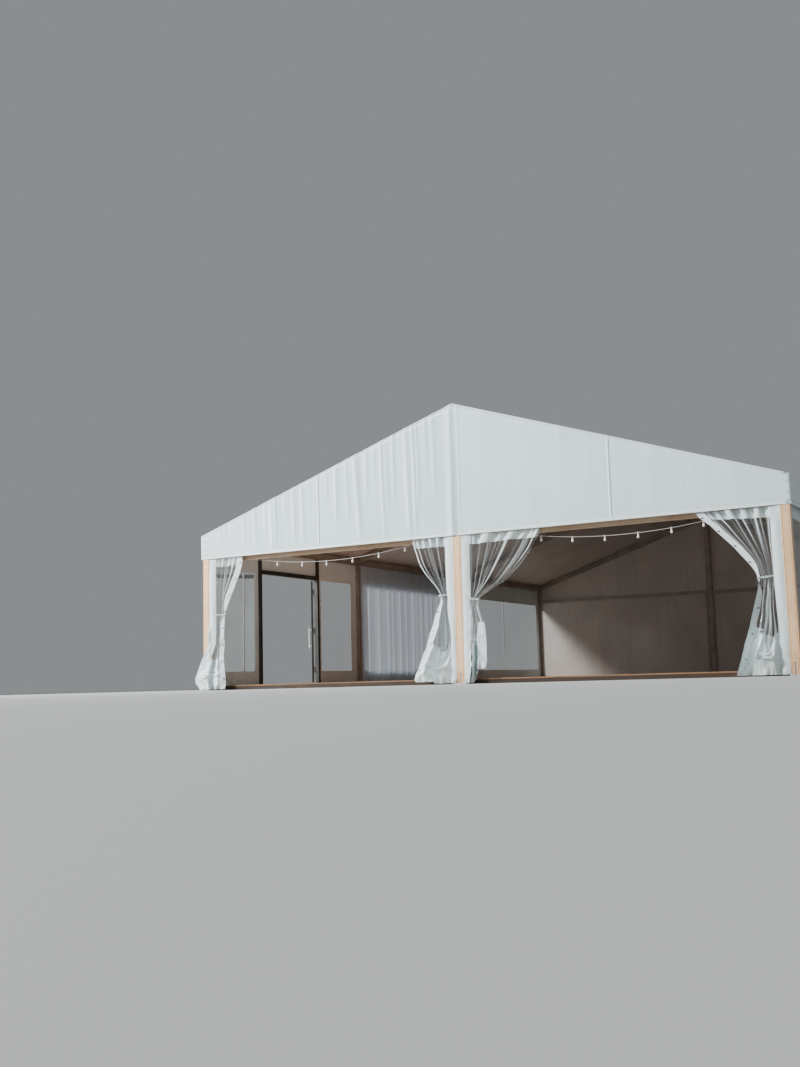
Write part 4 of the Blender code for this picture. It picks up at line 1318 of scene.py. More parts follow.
class Curtain:
    """The outline of one curtain, and where each point of its cloth hangs.

    It runs inward from its fixed edge, cut that wide and tied at a share of its drop. The
    free corner is lifted, and the fixed strip narrows below the tie. The pairs strip_seen
    and turned hold above and below the tie: how much of the free strip shows, and how far
    it turns to the back. A row holds height, width and bulge, as shares of the drop and of
    the clear width.
    """

    def __init__(
        self, edge, inward, cut, tie, lift, narrows, seed, strip_seen, turned, upper, lower, rows, white_edge=True
    ):
        self.edge, self.inward, self.cut, self.lift = edge, inward, cut, lift
        self.narrows, self.strip_seen, self.turned = narrows, strip_seen, turned
        self.upper, self.lower, self.white_edge = upper, lower, white_edge
        self.tie_height = CURTAIN_FOOT + tie * CURTAIN_DROP
        self.rows = [(share * CURTAIN_DROP + CURTAIN_FOOT, wide, bulge) for share, wide, bulge in rows]
        self.over_leg = any(bulge for _, _, bulge in rows)
        self.seed = seed
        self.threads = {}

    def outline(self, z):
        """Width and bulge at a height, on a smooth line through the measured rows."""
        rows = self.rows
        place = max((n for n in range(len(rows) - 1) if rows[n][0] >= z - 1e-9), default=0)
        before, start = rows[max(place - 1, 0)], rows[place]
        end, after = rows[place + 1], rows[min(place + 2, len(rows) - 1)]
        way = min(1.0, max(0.0, (start[0] - z) / (start[0] - end[0])))
        result = []
        for column in (1, 2):
            a, b, c, d = before[column], start[column], end[column], after[column]
            curve = b + 0.5 * way * (c - a + way * (2 * a - 5 * b + 4 * c - d + way * (3 * (b - c) + d - a)))
            low, high = sorted((b, c))
            result.append(min(high + 0.004, max(low - 0.004 * (column == 1), curve)) * CLEAR_WIDTH)
        return result[0], max(0.0, result[1])

    def strip_width(self, width, z):
        """Width that the fixed white strip takes up: less of it below the tie."""
        return min(0.14, 0.48 * width) * (1.0 - self.narrows * soft_step(self.tie_height - z, 0.10, 0.75))

    def fold_share(self, u, z):
        """Share of the cloth between the strips, with a slow wander from fold to fold."""
        share = (u - FIXED_STRIP) / (self.cut - FIXED_STRIP - FREE_STRIP)
        return share, share + 0.012 * ripple(share * 6.0, z * 1.4, self.seed) * math.sin(math.pi * share)

    def across(self, u, z):
        """Distance from the fixed edge."""
        width, bulge = self.outline(z)
        fixed = self.strip_width(width, z)
        seen = self.strip_seen[0] if z > self.tie_height else self.strip_seen[1]
        near_tie = hump(z - self.tie_height, 0.16)
        seen = min(blend_between(seen, 0.03, near_tie), 0.40 * (width - fixed))
        if u < FIXED_STRIP:
            return fixed * u / FIXED_STRIP - bulge
        if u > self.cut - FREE_STRIP:
            left = (self.cut - u) / FREE_STRIP
            return width - seen * left if seen > 0 else width + seen * (1.0 - left)
        seen = max(seen, 0.0)
        share, wander = self.fold_share(u, z)
        below = soft_step(self.tie_height - z, -0.10, 0.25)
        sideways = blend_between(self.upper.at(wander)[0], self.lower.at(wander)[0], below)
        reach = width
        if z > self.tie_height:
            top_width, tie_width = self.outline(CURTAIN_TOP)[0], self.outline(self.tie_height)[0]
            up = (z - self.tie_height) / (CURTAIN_TOP - self.tie_height)
            reach = blend_between(blend_between(tie_width, top_width, up), width, share * share)
        return fixed - bulge + sideways * (reach - seen - fixed + bulge)

    def forward(self, u, z):
        """Y of the cloth in its folds, and the depth that it may fill."""
        depth = fold_depth(z)
        below = soft_step(self.tie_height - z, -0.10, 0.25)
        pinch = 1.0 - 0.36 * hump(z - self.tie_height, 0.13)
        turned = blend_between(self.turned[0], self.turned[1], below)
        if u < FIXED_STRIP:
            way = u / FIXED_STRIP
            bow = 0.012 * math.sin(math.pi * way) * (1.0 + ripple(z * 2.0, self.seed))
            return STRIP_FACE + STRIP_LEAN * way - bow * soft_step(CURTAIN_TOP - z, 0.0, 0.3), depth
        if u > self.cut - FREE_STRIP:
            out = blend_between(0.78, 0.66 - 0.5 * turned, (u - self.cut + FREE_STRIP) / FREE_STRIP)
        else:
            share, wander = self.fold_share(u, z)
            out = blend_between(self.upper.at(wander)[1], self.lower.at(wander)[1], below)
            out = blend_between(out, 0.78, soft_step(share, 0.94, 1.0))
        y = CURTAIN_BACK - 0.006 - depth * (0.5 + (out - 0.5) * pinch)
        from_strip = soft_step(u, FIXED_STRIP, FIXED_STRIP + 0.07)
        return blend_between(STRIP_FACE + STRIP_LEAN, y, from_strip), depth

    def thread(self, u):
        """Run down one thread at equal steps of height, from the top to the tie."""
        if u not in self.threads:
            shares = [step / THREAD_STEPS for step in range(THREAD_STEPS + 1)]
            heights = [blend_between(CURTAIN_TOP, self.tie_height, share) for share in shares]
            runs = [0.0]
            for above, below in zip(heights, heights[1:]):
                runs.append(runs[-1] + math.hypot(self.across(u, above) - self.across(u, below), above - below))
            drop = self.tie_height - CURTAIN_FOOT - self.lift * soft_step(u / self.cut, 0.45, 0.8)
            spare = max(0.0, CLOTH_LENGTH - runs[-1] - drop)
            between_strips = soft_step(u, 0.14, 0.30) * soft_step(self.cut - u, 0.09, 0.16)
            slack = math.sqrt(min(1.0, spare / ROLL_TAKES_UP)) * between_strips
            swing = ROLL_SWING * slack * min(1.0, max(0.0, 1.0 + 0.5 * ripple(u * 3.1, self.seed)))
            self.threads[u] = heights, runs, drop, swing
        return self.threads[u]

    def hang(self, u, v):
        """Z of the cloth, and how far a roll of spare cloth above the foot comes forward."""
        heights, runs, drop, swing = self.thread(u)
        if v < runs[-1]:
            place = max(n for n in range(len(runs) - 1) if runs[n] <= v + 1e-9)
            way = (v - runs[place]) / (runs[place + 1] - runs[place])
            return blend_between(heights[place], heights[place + 1], way), 0.0
        start = CLOTH_LENGTH - ROLL_ABOVE_HEM - ROLL_CLOTH + 0.05 * ripple(u * 2.5, self.seed)
        share = min(1.0, max(0.0, (v - start) / ROLL_CLOTH))
        forward, down = rolled(share, swing)
        run = v - runs[-1] - (share - down) * ROLL_CLOTH
        full = CLOTH_LENGTH - runs[-1] - (1.0 - rolled(1.0, swing)[1]) * ROLL_CLOTH
        return self.tie_height - run * drop / full, forward * ROLL_CLOTH

    def place(self, u, v, lift=0.0):
        z, roll = self.hang(u, v)
        x = self.edge + self.inward * self.across(u, z)
        y, depth = self.forward(u, z)
        y += 0.004 * ripple(u * 11.0, v * 7.0, self.seed + 2)
        below_tie = self.tie_height - z
        creased = soft_step(below_tie, 0.06, 0.75)
        if not self.over_leg:
            creased *= 0.30 + 0.70 * soft_step(u, 0.05, 0.30)
        y -= CREASE_DEPTH * creased * crease(u * 2.1 + v * 1.3, v * 2.6 - u, self.seed + 5)
        y -= CREASE_DEPTH / 2 * creased * crease(u * 5.3 - v * 2.0, v * 5.1, self.seed + 7)
        aside = ripple(u * 4.0, v * 3.4, self.seed + 11)
        x += self.inward * CREASE_ASIDE * creased * soft_step(u, 0.10, 0.30) * aside
        flare = ripple(u * 6.5, self.seed + 3) + 0.6 * ripple(u * 15.0, v * 9.0, self.seed + 6) + 0.2
        y -= FOOT_FLARE * soft_step(v, CLOTH_LENGTH - 0.14, CLOTH_LENGTH) * flare
        y -= ROLL_SHOWN * roll
        if self.over_leg:
            over = soft_step(abs(x), LEG_INSIDE - 0.06, LEG_INSIDE - 0.004) * soft_step(below_tie, 0.10, 0.34)
            in_front = POST_FACE - 0.012 - 0.05 * abs(ripple(u * 4.0 + v, v * 4.0, self.seed))
            y = blend_between(y, min(y, in_front), over)
        y = max(min(y, CURTAIN_BACK - 0.003), CURTAIN_BACK - depth / DEPTH_FILLED)
        return Vector((x, y - lift, z))

    def normal(self, u, v):
        """Direction out of the cloth's front, from three near points."""
        here = self.place(u, v)
        aside, down = self.place(u - 0.004, v) - here, self.place(u, v + 0.004) - here
        out = aside.cross(down).normalized()
        return out if out.y < 0 else -out


def fold_depth(z):
    """Depth that the folds fill in their solid: slight at the top, fullest at the foot."""
    share = (z - CURTAIN_FOOT) / CURTAIN_DROP
    if share >= TIE_SHARE:
        return (0.09 + (1 - share) / (1 - TIE_SHARE) * 0.02) * DEPTH_FILLED
    return (0.11 + (1 - share / TIE_SHARE) * 0.13) * DEPTH_FILLED


print("curtain cloth is", round(CLOTH_LENGTH, 2), "m long for a drop of", round(CURTAIN_DROP, 2), "m")

# %% The four curtains
SKIRT = 0.60
HEADER = 0.145

CURTAINS = {
    "far_left": Curtain(
        edge=-LEG_EDGE, inward=1, cut=1.10, tie=0.565, lift=0.0, narrows=0.0, seed=1.0,
        strip_seen=(0.115, 0.115), turned=(0.0, 0.0), upper=Folds(4, 1.5, 3), lower=Folds(2, 2.75, 12, kind="tuck"),
        rows=(
            (1.0, 0.1478, 0.0), (0.910, 0.1410, 0.0), (0.766, 0.1110, 0.0), (0.660, 0.0870, 0.0),
            (0.565, 0.0700, 0.0), (0.480, 0.0680, 0.0), (0.390, 0.0690, 0.0), (0.327, 0.0700, 0.0050),
            (0.230, 0.0735, 0.0290), (0.120, 0.0780, 0.0550), (0.062, 0.0805, 0.0630), (0.0, 0.0812, 0.0400),
        ),
    ),
    "centre_left": Curtain(
        edge=-UPRIGHT_EDGE, inward=-1, cut=1.30, tie=0.600, lift=0.03, narrows=0.38, seed=2.0,
        strip_seen=(0.042, 0.115), turned=(0.9, 0.0), upper=Folds(5, 1.5, 21), lower=Folds(3, 2.8, 5, kind="tuck"),
        rows=(
            (1.0, 0.1566, 0.0), (0.910, 0.1442, 0.0), (0.787, 0.1200, 0.0), (0.600, 0.0560, 0.0),
            (0.437, 0.0760, 0.0), (0.249, 0.1040, 0.0), (0.0875, 0.1370, 0.0), (0.040, 0.1450, 0.0),
            (0.0, 0.1380, 0.0),
        ),
    ),
    "centre_right": Curtain(
        edge=UPRIGHT_EDGE, inward=1, cut=1.40, tie=0.560, lift=0.21, narrows=0.20, seed=3.0, white_edge=False,
        strip_seen=(0.018, 0.105), turned=(1.0, 0.0), upper=Folds(6, 1.65, 8), lower=Folds(3, 2.9, 31, kind="tuck"),
        rows=(
            (1.0, 0.2710, 0.0), (0.945, 0.2580, 0.0), (0.831, 0.2230, 0.0), (0.678, 0.1500, 0.0),
            (0.560, 0.0546, 0.0), (0.372, 0.0790, 0.0), (0.0875, 0.0840, 0.0), (0.0, 0.0730, 0.0),
        ),
    ),
    "far_right": Curtain(
        edge=LEG_EDGE, inward=-1, cut=1.45, tie=0.580, lift=0.0, narrows=0.10, seed=4.0,
        strip_seen=(0.110, -0.07), turned=(0.0, 0.9), upper=Folds(6, 1.55, 14), lower=Folds(3, 2.8, 9, kind="tuck"),
        rows=(
            (1.0, 0.2394, 0.0), (0.910, 0.1957, 0.0), (0.761, 0.1311, 0.0), (0.580, 0.0740, 0.0),
            (0.394, 0.0895, 0.0), (0.219, 0.1124, 0.0), (0.0875, 0.1311, 0.0), (0.0, 0.1395, 0.0),
        ),
    ),
}
print("curtains planned:", ", ".join(CURTAINS))

# %% Buttons and ties
BUTTON_STEP = 0.30
BUTTON_INSET = 0.035
BUTTON_RADII = (0.017, 0.015)
RING_STEPS = 36
LOOSE_ENDS = ((0.055, 0.105), (0.018, 0.135))


def make_curtain(word, shape):
    skirt = CLOTH_LENGTH - SKIRT

    def is_clear(u, v):
        edge_strip = u < FIXED_STRIP or (shape.white_edge and u > shape.cut - FREE_STRIP)
        return int(not edge_strip and HEADER <= v <= skirt)

    columns = steps([0.0, FIXED_STRIP, shape.cut - FREE_STRIP, shape.cut], 0.0125)
    rows = steps([0.0, HEADER, skirt], 0.028) + steps([skirt, CLOTH_LENGTH], 0.0135)[1:]
    return make_sheet(
        f"clear_curtain_{word}", columns, rows, shape.place, [wall_white, curtain_clear], (0, -1, 0),
        region=is_clear, node=f"curtain_{word}", slot="curtain_sheet",
    )


def make_buttons(word, shape):
    """Oval plates down the free edge: with a bar on a white strip, bare on a clear one."""
    data = bmesh.new()
    for number in range(int((CLOTH_LENGTH - 0.15) / BUTTON_STEP) + 1):
        u, v = shape.cut - BUTTON_INSET, 0.10 + number * BUTTON_STEP
        spot, out = shape.place(u, v), shape.normal(u, v)
        turn_to = out.to_track_quat("Z", "Y").to_matrix().to_4x4()
        flat = Matrix.Translation(spot + out * 0.0015) @ turn_to @ Matrix.Diagonal((1.0, 0.62, 1.0, 1.0))
        wide, narrow = BUTTON_RADII
        bmesh.ops.create_cone(
            data, cap_ends=True, segments=16, radius1=wide, radius2=narrow, depth=0.003, matrix=flat
        )
        if shape.white_edge:
            bar = Matrix.Translation(spot + out * 0.007) @ turn_to @ Matrix.Diagonal((0.026, 0.009, 0.008, 1.0))
            bmesh.ops.create_cube(data, size=1.0, matrix=bar)
    return finish_piece(f"turn_buttons_{word}", data, button_dark if shape.white_edge else seam_white)


def add_ribbon(data, points, across, thickness):
    """A flat band along a few points, given body by solidify."""
    before = set(data.verts)
    bmesh.ops.create_grid(data, x_segments=len(points) - 1, y_segments=1, size=1.0)
    made = new_verts(data, before)
    for vert in made:
        index = round((vert.co.x + 1) / 2 * (len(points) - 1))
        vert.co = Vector(points[index]) + Vector(across) * (0.5 if vert.co.y > 0 else -0.5)
    faces = list({face for vert in made for face in vert.link_faces})
    bmesh.ops.solidify(data, geom=faces, thickness=thickness)


def make_tie(word, shape):
    """A strap round the gathered cloth, knotted at its side, with two loose ends."""
    z = shape.tie_height
    width = shape.outline(z)[0]
    fixed = shape.strip_width(width, z)
    half_wide = (width - fixed) / 2 + 0.012
    middle_x = shape.edge + shape.inward * ((width + fixed) / 2)
    depth = fold_depth(z)
    middle_y, half_deep = CURTAIN_BACK - 0.006 - depth / 2, depth * 0.34
    data = bmesh.new()
    ring = []
    for step in range(RING_STEPS + 1):
        angle = math.tau * step / RING_STEPS
        slope = 0.012 * math.cos(angle) * shape.inward
        ring.append((middle_x + half_wide * math.cos(angle), middle_y + half_deep * math.sin(angle), z - slope))
    add_ribbon(data, ring, (0, 0, 0.016), 0.002)
    bmesh.ops.remove_doubles(data, verts=data.verts, dist=1e-5)
    knot = Vector((middle_x + shape.inward * half_wide * 0.75, middle_y - half_deep * 0.8, z - 0.004))
    ball = Matrix.Translation(knot) @ Matrix.Diagonal((0.016, 0.011, 0.013, 1.0))
    bmesh.ops.create_icosphere(data, subdivisions=2, radius=1.0, matrix=ball)
    for reach, drop in LOOSE_ENDS:
        bend = [
            knot + Vector((shape.inward * reach * way, -0.008 * math.sin(math.pi * way), -drop * way**1.6))
            for way in (0.0, 0.2, 0.4, 0.6, 0.8, 1.0)
        ]
        add_ribbon(data, bend, (0.003, -0.010, 0.0), 0.0018)
    return finish_solid(f"curtain_tie_{word}", data, seam_white)


print("one button every", BUTTON_STEP, "m")

# %% Hang the curtains
button_dark = cloudy_finish(
    "turn_button_nickel", 0.4, 80.0, (0.35, (0.06, 0.065, 0.065)), (0.75, (0.20, 0.20, 0.19)), (0.1, 0.0005),
    detail=3.0, metallic=0.6,
)
for word, shape in CURTAINS.items():
    curtain = make_curtain(word, shape)
    make_buttons(word, shape)
    make_tie(word, shape)
    print(curtain.name, "cut", shape.cut, "m wide")

# %% [markdown]
# ## The floor
#
# The floor is planks on bearers, with a dark-stained board along the open edge under a
# paler, worn nosing. Planks are short blocks with broken edges, laid in rows with staggered
# ends, and a shade written on each plank's faces varies the colour from plank to plank.

# %% Timber finish
def make_timber_finish(name, dark, middle, light, along, wear=0.35):
    """Stained softwood with grain along one axis, a shade for each board, and wear."""
    finish, tree, shader = new_finish(name, 0.55)
    stretch = tuple(0.05 if axis == along else 1.0 for axis in range(3))
    grain = texture(tree, 34.0, stretch=stretch, Detail=7.0, Roughness=0.62, Distortion=0.6)
    colour = ramp(tree, grain, (0.28, dark), (0.50, middle), (0.74, light))
    shade = tree.nodes.new("ShaderNodeAttribute")
    shade.attribute_name = "shade"
    colour = lay_over(tree, colour, darker(dark, 0.55), shade.outputs["Fac"], 0.0, 1.0, 0.45)
    worn = texture(tree, 2.6, Detail=5.0)
    colour = lay_over(tree, colour, (0.38, 0.30, 0.22), worn, 0.56, 0.78, wear)
    paint(tree, shader, colour)
    paint(tree, shader, span_to(tree, grain, 0.3, 0.7, 0.62, 0.46), "Roughness")
    add_bump(tree, shader, grain, 0.35, 0.0015)
    return finish


ALONG_X, ALONG_Y = 0, 1
floor_timber = make_timber_finish(
    "floor_boards", (0.20, 0.10, 0.045), (0.34, 0.18, 0.085), (0.46, 0.27, 0.14), ALONG_Y
)
edge_timber = make_timber_finish(
    "edge_board_stain", (0.020, 0.010, 0.006), (0.045, 0.022, 0.010), (0.085, 0.042, 0.018), ALONG_X, 0.08
)
nosing_timber = make_timber_finish(
    "edge_nosing_worn", (0.17, 0.08, 0.03), (0.29, 0.145, 0.06), (0.42, 0.23, 0.11), ALONG_X, 0.15
)
print("timber finishes ready")

# %% Planks, bearers and the edge board
PLANK_WIDTH = 0.1410
PLANK_GAP = 0.004
PLANK_THICKNESS = 0.028
PLANK_LENGTH = 3.6
SHORTEST_PLANK = 0.8
BEARERS = 25
BEARER_WIDTH = 0.06
EDGE_JOINTS = (-2.36, 0.22, 2.71)


def new_shaded_data():
    """An empty bmesh whose faces can carry one shade value each."""
    data = bmesh.new()
    return data, data.faces.layers.float.new("shade")


def shaded_block(data, layer, low, high, bevel, shade):
    """A block whose faces carry one shade value."""
    before = set(data.faces)
    add_block(data, low, high, bevel)
    for face in data.faces:
        if face not in before:
            face[layer] = shade


def make_floor():
    low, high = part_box("timber_floor")
    draw = random.Random(11)
    data, layer = new_shaded_data()
    lanes = round((high.x - low.x) / (PLANK_WIDTH + PLANK_GAP))
    lane = (high.x - low.x + PLANK_GAP) / lanes
    under = high.z - PLANK_THICKNESS
    for number in range(lanes):
        x, start = low.x + number * lane, low.y
        ends = [low.y + draw.uniform(1.2, 3.8)]
        while ends[-1] + PLANK_LENGTH < high.y - SHORTEST_PLANK:
            ends.append(ends[-1] + PLANK_LENGTH)
        for end in [*ends, high.y]:
            corner = (x + lane - PLANK_GAP, end - (0.003 if end < high.y else 0.0), high.z)
            shaded_block(data, layer, (x, start, under), corner, 0.0015, draw.random())
            start = end
    planks = finish_piece("floor_planks", data, floor_timber, slot="timber", smooth=False)
    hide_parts("timber_floor")
    data, layer = new_shaded_data()
    for number in range(BEARERS):
        y = low.y + (high.y - low.y - BEARER_WIDTH) * number / (BEARERS - 1)
        shaded_block(data, layer, (low.x, y, 0.0), (high.x, y + BEARER_WIDTH, under), 0.002, draw.random())
    finish_piece("floor_bearers", data, floor_timber, slot="timber", smooth=False)
    return lanes


def make_edge_board():
    low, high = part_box("floor_edge_board")
    draw = random.Random(5)
    joints = (low.x, *EDGE_JOINTS, high.x)
    for name, z_low, z_high, y_low, finish in (
        ("edge_board", low.z, high.z - 0.020, low.y + 0.005, edge_timber),
        ("edge_nosing", high.z - 0.0195, high.z, low.y + 0.0005, nosing_timber),
    ):
        data, layer = new_shaded_data()
        for start, end in zip(joints, joints[1:]):
            corners = (start + 0.001, y_low, z_low), (end - 0.001, high.y, z_high)
            shaded_block(data, layer, *corners, 0.002, draw.uniform(0.3, 0.7))
        piece = finish_piece(name, data, finish, slot="timber", smooth=False)
        if name == "edge_board":
            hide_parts("floor_edge_board")


print("plank rows:", make_floor())
make_edge_board()

# %% [markdown]
# ## The side door
#
# A dark metal frame holds two glazed leaves, both folded back outside the wall. A leaf is
# modelled shut, beside its hinge line, from one inset and extruded rectangle. One matrix
# then turns every part of it to where the solid stands open.

# %% Door finishes
def make_door_finish():
    """Dark bronze powder coat with an orange-peel texture and pale scratches."""
    finish, tree, shader = new_finish("bronze_coat", 0.38, 0.35, Coat_Weight=0.15)
    cloud = texture(tree, 7.0, Detail=5.0)
    colour = ramp(tree, cloud, (0.3, (0.040, 0.038, 0.037)), (0.7, (0.066, 0.062, 0.059)))
    scratch = texture(tree, 40.0, stretch=(1, 1, 0.1), Detail=5.0)
    colour = lay_over(tree, colour, (0.20, 0.19, 0.18), scratch, 0.70, 0.84, 0.35)
    paint(tree, shader, colour)
    add_bump(tree, shader, texture(tree, 900.0), 0.08, 0.0003)
    return finish


def make_glass_finish():
    """Clear pane with a faint green body and wipe marks."""
    finish, tree, shader = new_finish("door_pane", 0.03, Specular_IOR_Level=0.8, Coat_Weight=0.5)
    wipes = texture(tree, 2.0, stretch=(1, 1, 3.0), Detail=6.0)
    paint(tree, shader, ramp(tree, wipes, (0.3, (0.52, 0.60, 0.58)), (0.8, (0.72, 0.78, 0.76))))
    paint(tree, shader, span_to(tree, wipes, 0.3, 0.8, 0.10, 0.22), "Alpha")
    return finish


bronze_coat, door_pane = make_door_finish(), make_glass_finish()
black_gasket = cloudy_finish(
    "black_gasket", 0.7, 50.0, (0.3, (0.018, 0.018, 0.018)), (0.8, (0.05, 0.048, 0.045)), (0.2, 0.0008)
)
white_pull = cloudy_finish(
    "white_pull", 0.32, 22.0, (0.35, (0.80, 0.80, 0.78)), (0.8, (0.62, 0.61, 0.58)), (0.1, 0.0005), Coat_Weight=0.2
)
for node, finish in (("door_frame", bronze_coat), ("door_glass_front", door_pane), ("door_glass_back", door_pane)):
    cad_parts[node].data.materials.clear()
    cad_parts[node].data.materials.append(finish)
print("door finishes ready")

# %% Rings for the leaves
SHARP_ANGLE = 0.5


def add_ring(data, low, high, rim, bottom_rim, bevel=0.0):
    """A rectangular ring: one face, inset, opened and extruded to its thickness."""
    (x_low, y_low, z_low), (x_high, y_high, z_high) = low, high
    corners = ((y_low, z_low), (y_high, z_low), (y_high, z_high), (y_low, z_high))
    face = data.faces.new([data.verts.new((x_low, y, z)) for y, z in corners])
    face.normal_update()
    inset = bmesh.ops.inset_region(data, faces=[face], thickness=rim, use_boundary=True, use_even_offset=True)
    for vert in face.verts:
        if vert.co.z < (z_low + z_high) / 2:
            vert.co.z = z_low + bottom_rim
    flat = {vert for item in inset["faces"] for vert in item.verts}
    bmesh.ops.delete(data, geom=[face], context="FACES_ONLY")
    grown = bmesh.ops.extrude_face_region(data, geom=inset["faces"])["geom"]
    moved = [item for item in grown if isinstance(item, bmesh.types.BMVert)]
    bmesh.ops.translate(data, verts=moved, vec=(x_high - x_low, 0, 0))
    if bevel:
        touched = {edge for vert in [*flat, *moved] for edge in vert.link_edges}
        sharp = [edge for edge in touched if len(edge.link_faces) == 2 and edge.calc_face_angle(0) > SHARP_ANGLE]
        break_edges(data, sharp, bevel)


print("ring edges sharper than", SHARP_ANGLE, "radians are broken")

# %% Door leaves
HINGE_X = -5.002
HINGE_Y = {"front": -5.927, "back": -4.073}
HINGE_GAP = 0.003
HINGE_LENGTH = 0.06
HINGE_HEIGHTS = (0.350, 1.120, 1.900)
OPEN_BY = math.radians(146.0)
LEAF_WIDTH = 0.921
LEAF_LOW, LEAF_HIGH = 0.096, 2.134
LEAF_FACE, LEAF_BACK = 0.014, 0.054
STILE, BOTTOM_RAIL = 0.06, 0.10
GASKET_SIDES = ((0.0250, 0.0298), (0.0382, 0.0430))
LOCK_LOW, LOCK_HIGH = 1.30, 1.40
PULL_LOW, PULL_HIGH = 0.81, 1.23
PULL_RADIUS = 0.011
PULL_REACH = 0.045


def add_leaf_frame(data, direction, near, far):
    """The leaf's frame with its hinges and lock plates."""
    add_ring(data, (LEAF_FACE, near, LEAF_LOW), (LEAF_BACK, far, LEAF_HIGH), STILE, BOTTOM_RAIL, 0.002)
    plate = sorted((direction * 0.0045, direction * 0.020))
    for height in HINGE_HEIGHTS:
        top = height + HINGE_LENGTH
        add_round(data, (0, 0, height), (0, 0, top), 0.009, 18)
        add_block(data, (0.002, plate[0], height), (LEAF_FACE + 0.003, plate[1], top), 0.001)
    lock = sorted((direction * (LEAF_WIDTH - 0.050), direction * (LEAF_WIDTH - 0.004)))
    for x_low, x_high in ((LEAF_FACE - 0.004, LEAF_FACE + 0.001), (LEAF_BACK - 0.001, LEAF_BACK + 0.004)):
        add_block(data, (x_low, lock[0], LOCK_LOW), (x_high, lock[1], LOCK_HIGH), 0.0015)


def add_pulls(data, y):
    """A round bar on either face of the leaf, on two short posts with a rose each."""
    for face_x, away in ((LEAF_FACE, -1), (LEAF_BACK, 1)):
        bar_x = face_x + away * PULL_REACH
        add_round(data, (bar_x, y, PULL_LOW), (bar_x, y, PULL_HIGH), PULL_RADIUS, 20)
        for tip, past in ((PULL_LOW, PULL_LOW - 0.006), (PULL_HIGH, PULL_HIGH + 0.006)):
            add_round(data, (bar_x, y, tip), (bar_x, y, past), PULL_RADIUS, 20, 0.006)
        for height in (PULL_LOW + 0.045, PULL_HIGH - 0.045):
            add_round(data, (face_x, y, height), (bar_x, y, height), 0.0077, 14)
            add_round(data, (face_x, y, height), (face_x + away * 0.004, y, height), 0.014, 18)


def make_leaf(word, direction):
    """One leaf, modelled shut beside its hinge line and turned to where it stands open."""
    body = f"{word}_leaf"
    turned = Matrix.Translation((HINGE_X, HINGE_Y[word], 0)) @ Matrix.Rotation(direction * OPEN_BY, 4, "Z")
    near, far = sorted((direction * HINGE_GAP, direction * (HINGE_GAP + LEAF_WIDTH)))
    data = bmesh.new()
    add_leaf_frame(data, direction, near, far)
    leaf = finish_solid(f"leaf_frame_{word}", data, bronze_coat, body, "door_metal", turned=turned)
    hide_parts(f"door_leaf_{word}")
    data = bmesh.new()
    rim, in_stile = 0.010, STILE - 0.001
    for x_low, x_high in GASKET_SIDES:
        low = (x_low, near + in_stile, LEAF_LOW + BOTTOM_RAIL - 0.001)
        add_ring(data, low, (x_high, far - in_stile, LEAF_HIGH - in_stile), rim, rim)
    finish_solid(f"leaf_gasket_{word}", data, black_gasket, body, turned=turned)
    data = bmesh.new()
    add_pulls(data, direction * (HINGE_GAP + LEAF_WIDTH - 0.030))
    finish_piece(f"leaf_pulls_{word}", data, white_pull, body, turned=turned)


for word, direction in (("front", 1), ("back", -1)):
    make_leaf(word, direction)
print("door leaves ready, open by", round(math.degrees(OPEN_BY)), "degrees")

# %% [markdown]
# ## The pleated drape
#
# Inside the second bay a thin white voile hangs in broad folds from the eave to the
# floor. They are shallow at the heading tape and open out lower down. The same walk along
# the cloth as for the curtains gives them, here with round crests and sharp valleys. The
# thin cloth lets through some of the light of the window behind it.

# %% Drape
def make_voile_finish():
    """Thin woven voile: off-white, matte, with a soft sheen and fine upright threads."""
    finish, tree, shader = new_finish(
        "pleated_voile", 0.85, Sheen_Weight=0.35, Specular_IOR_Level=0.2, Transmission_Weight=0.6, IOR=1.2
    )
    fall = texture(tree, 3.0, stretch=(1, 1, 0.15), Detail=4.0)
    paint(tree, shader, ramp(tree, fall, (0.3, (0.62, 0.71, 0.84)), (0.7, (0.76, 0.84, 0.95))))
    add_bump(tree, shader, texture(tree, 500.0, stretch=(1, 1, 0.05)), 0.15, 0.0004)
    return finish


pleated_voile = make_voile_finish()
DRAPE_PLEATS = 17
DRAPE_CUT = 5.5


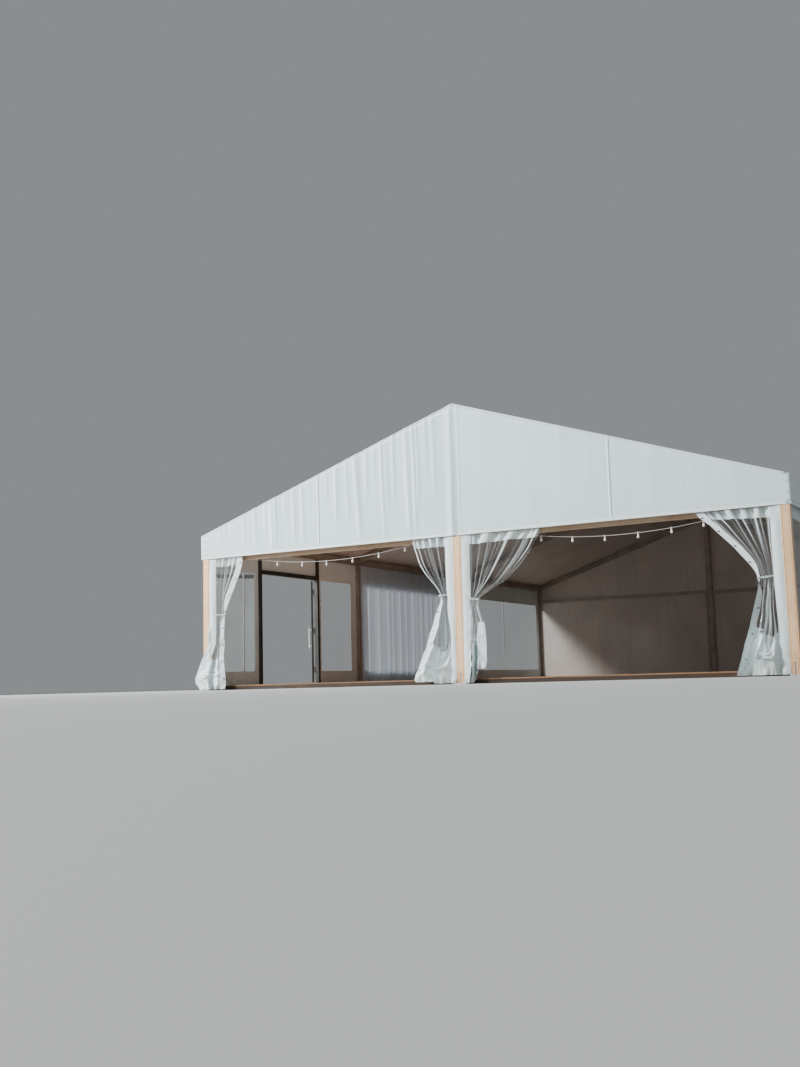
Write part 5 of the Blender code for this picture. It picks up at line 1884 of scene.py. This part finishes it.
def make_drape():
    low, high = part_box("inner_drape")
    length, drop = high.y - low.y - 0.008, high.z - low.z
    folds = Folds(DRAPE_PLEATS, 0.8, 23, 1400, "pillow")

    def place(u, v):
        way, share = u / DRAPE_CUT, v / drop
        ends = soft_step(way, 0.0, 0.02) * soft_step(1.0 - way, 0.0, 0.02)
        across, out = folds.at(way + 0.0035 * ends * share * (1.0 + ripple(way * 9.0, share, 6.0)))
        small = 0.10 * ripple(way * 95.0, share * 0.8, 2.0) + 0.05 * ripple(way * 260.0, share * 0.6, 7.0)
        opened = 0.55 + 0.45 * soft_step(share, 0.0, 0.3)
        depth = min(1.0, max(0.0, 0.12 + 0.80 * out * opened + small))
        x = low.x + 0.003 + (high.x - low.x - 0.006) * depth
        return Vector((x, low.y + 0.004 + length * across, high.z - v))

    columns = steps([0.0, DRAPE_CUT], 0.0125)
    rows = steps([0.0, 0.06, drop], 0.16)
    drape = make_sheet(
        "pleated_drape", columns, rows, place, pleated_voile, (1, 0, 0), node="inner_drape", slot="drape_cloth"
    )


make_drape()
print("drape of", DRAPE_PLEATS, "folds")

# %% [markdown]
# ## Floor of the studio and light
#
# A wide pale floor catches the shadow. A large soft lamp from the front left lights the
# gable, and a narrower beam from further round to the left rakes over its puckers. A small
# warm lamp stands in for the lights under the roof, and an even pale sky fills the rest.

# %% Stage and light
def make_stage():
    data = bmesh.new()
    bmesh.ops.create_grid(data, x_segments=4, y_segments=4, size=150.0)
    mesh = bpy.data.meshes.new("studio_floor")
    data.to_mesh(mesh)
    data.free()
    finish, _, shader = new_finish("studio_floor", 0.9)
    shader.inputs["Base Color"].default_value = (0.52, 0.52, 0.51, 1.0)
    mesh.materials.append(finish)
    ground = bpy.data.objects.new("studio_floor", mesh)
    bpy.context.scene.collection.objects.link(ground)


def make_light(name, place, target, size, power, colour, spread=math.pi):
    lamp = bpy.data.lights.new(name, "AREA")
    lamp.shape = "SQUARE"
    lamp.size = size
    lamp.spread = spread
    lamp.energy = power
    lamp.color = colour
    holder = bpy.data.objects.new(name, lamp)
    holder.location = place
    aim = Vector(target) - Vector(place)
    holder.rotation_euler = aim.to_track_quat("-Z", "Y").to_euler()
    holder.visible_camera = False
    bpy.context.scene.collection.objects.link(holder)


make_stage()
make_light("soft_key", (-19.0, -27.0, 20.0), (0.0, -4.0, 2.0), 9.0, 19500.0, (0.97, 1.0, 1.0))
make_light("side_rake", (-16.0, -12.0, 5.0), (-2.0, -7.5, 3.2), 3.0, 380.0, (0.98, 1.0, 1.0), math.radians(80))
make_light("inner_lamp", (-1.6, -4.6, 1.10), (-1.6, -4.6, 4.0), 3.4, 27.0, (1.0, 0.56, 0.35))
sky = bpy.data.worlds.new("studio_sky")
sky.use_nodes = True
sky.node_tree.nodes["Background"].inputs["Color"].default_value = (0.86, 0.90, 0.93, 1.0)
sky.node_tree.nodes["Background"].inputs["Strength"].default_value = 0.31
bpy.context.scene.world = sky
print("stage and light ready")
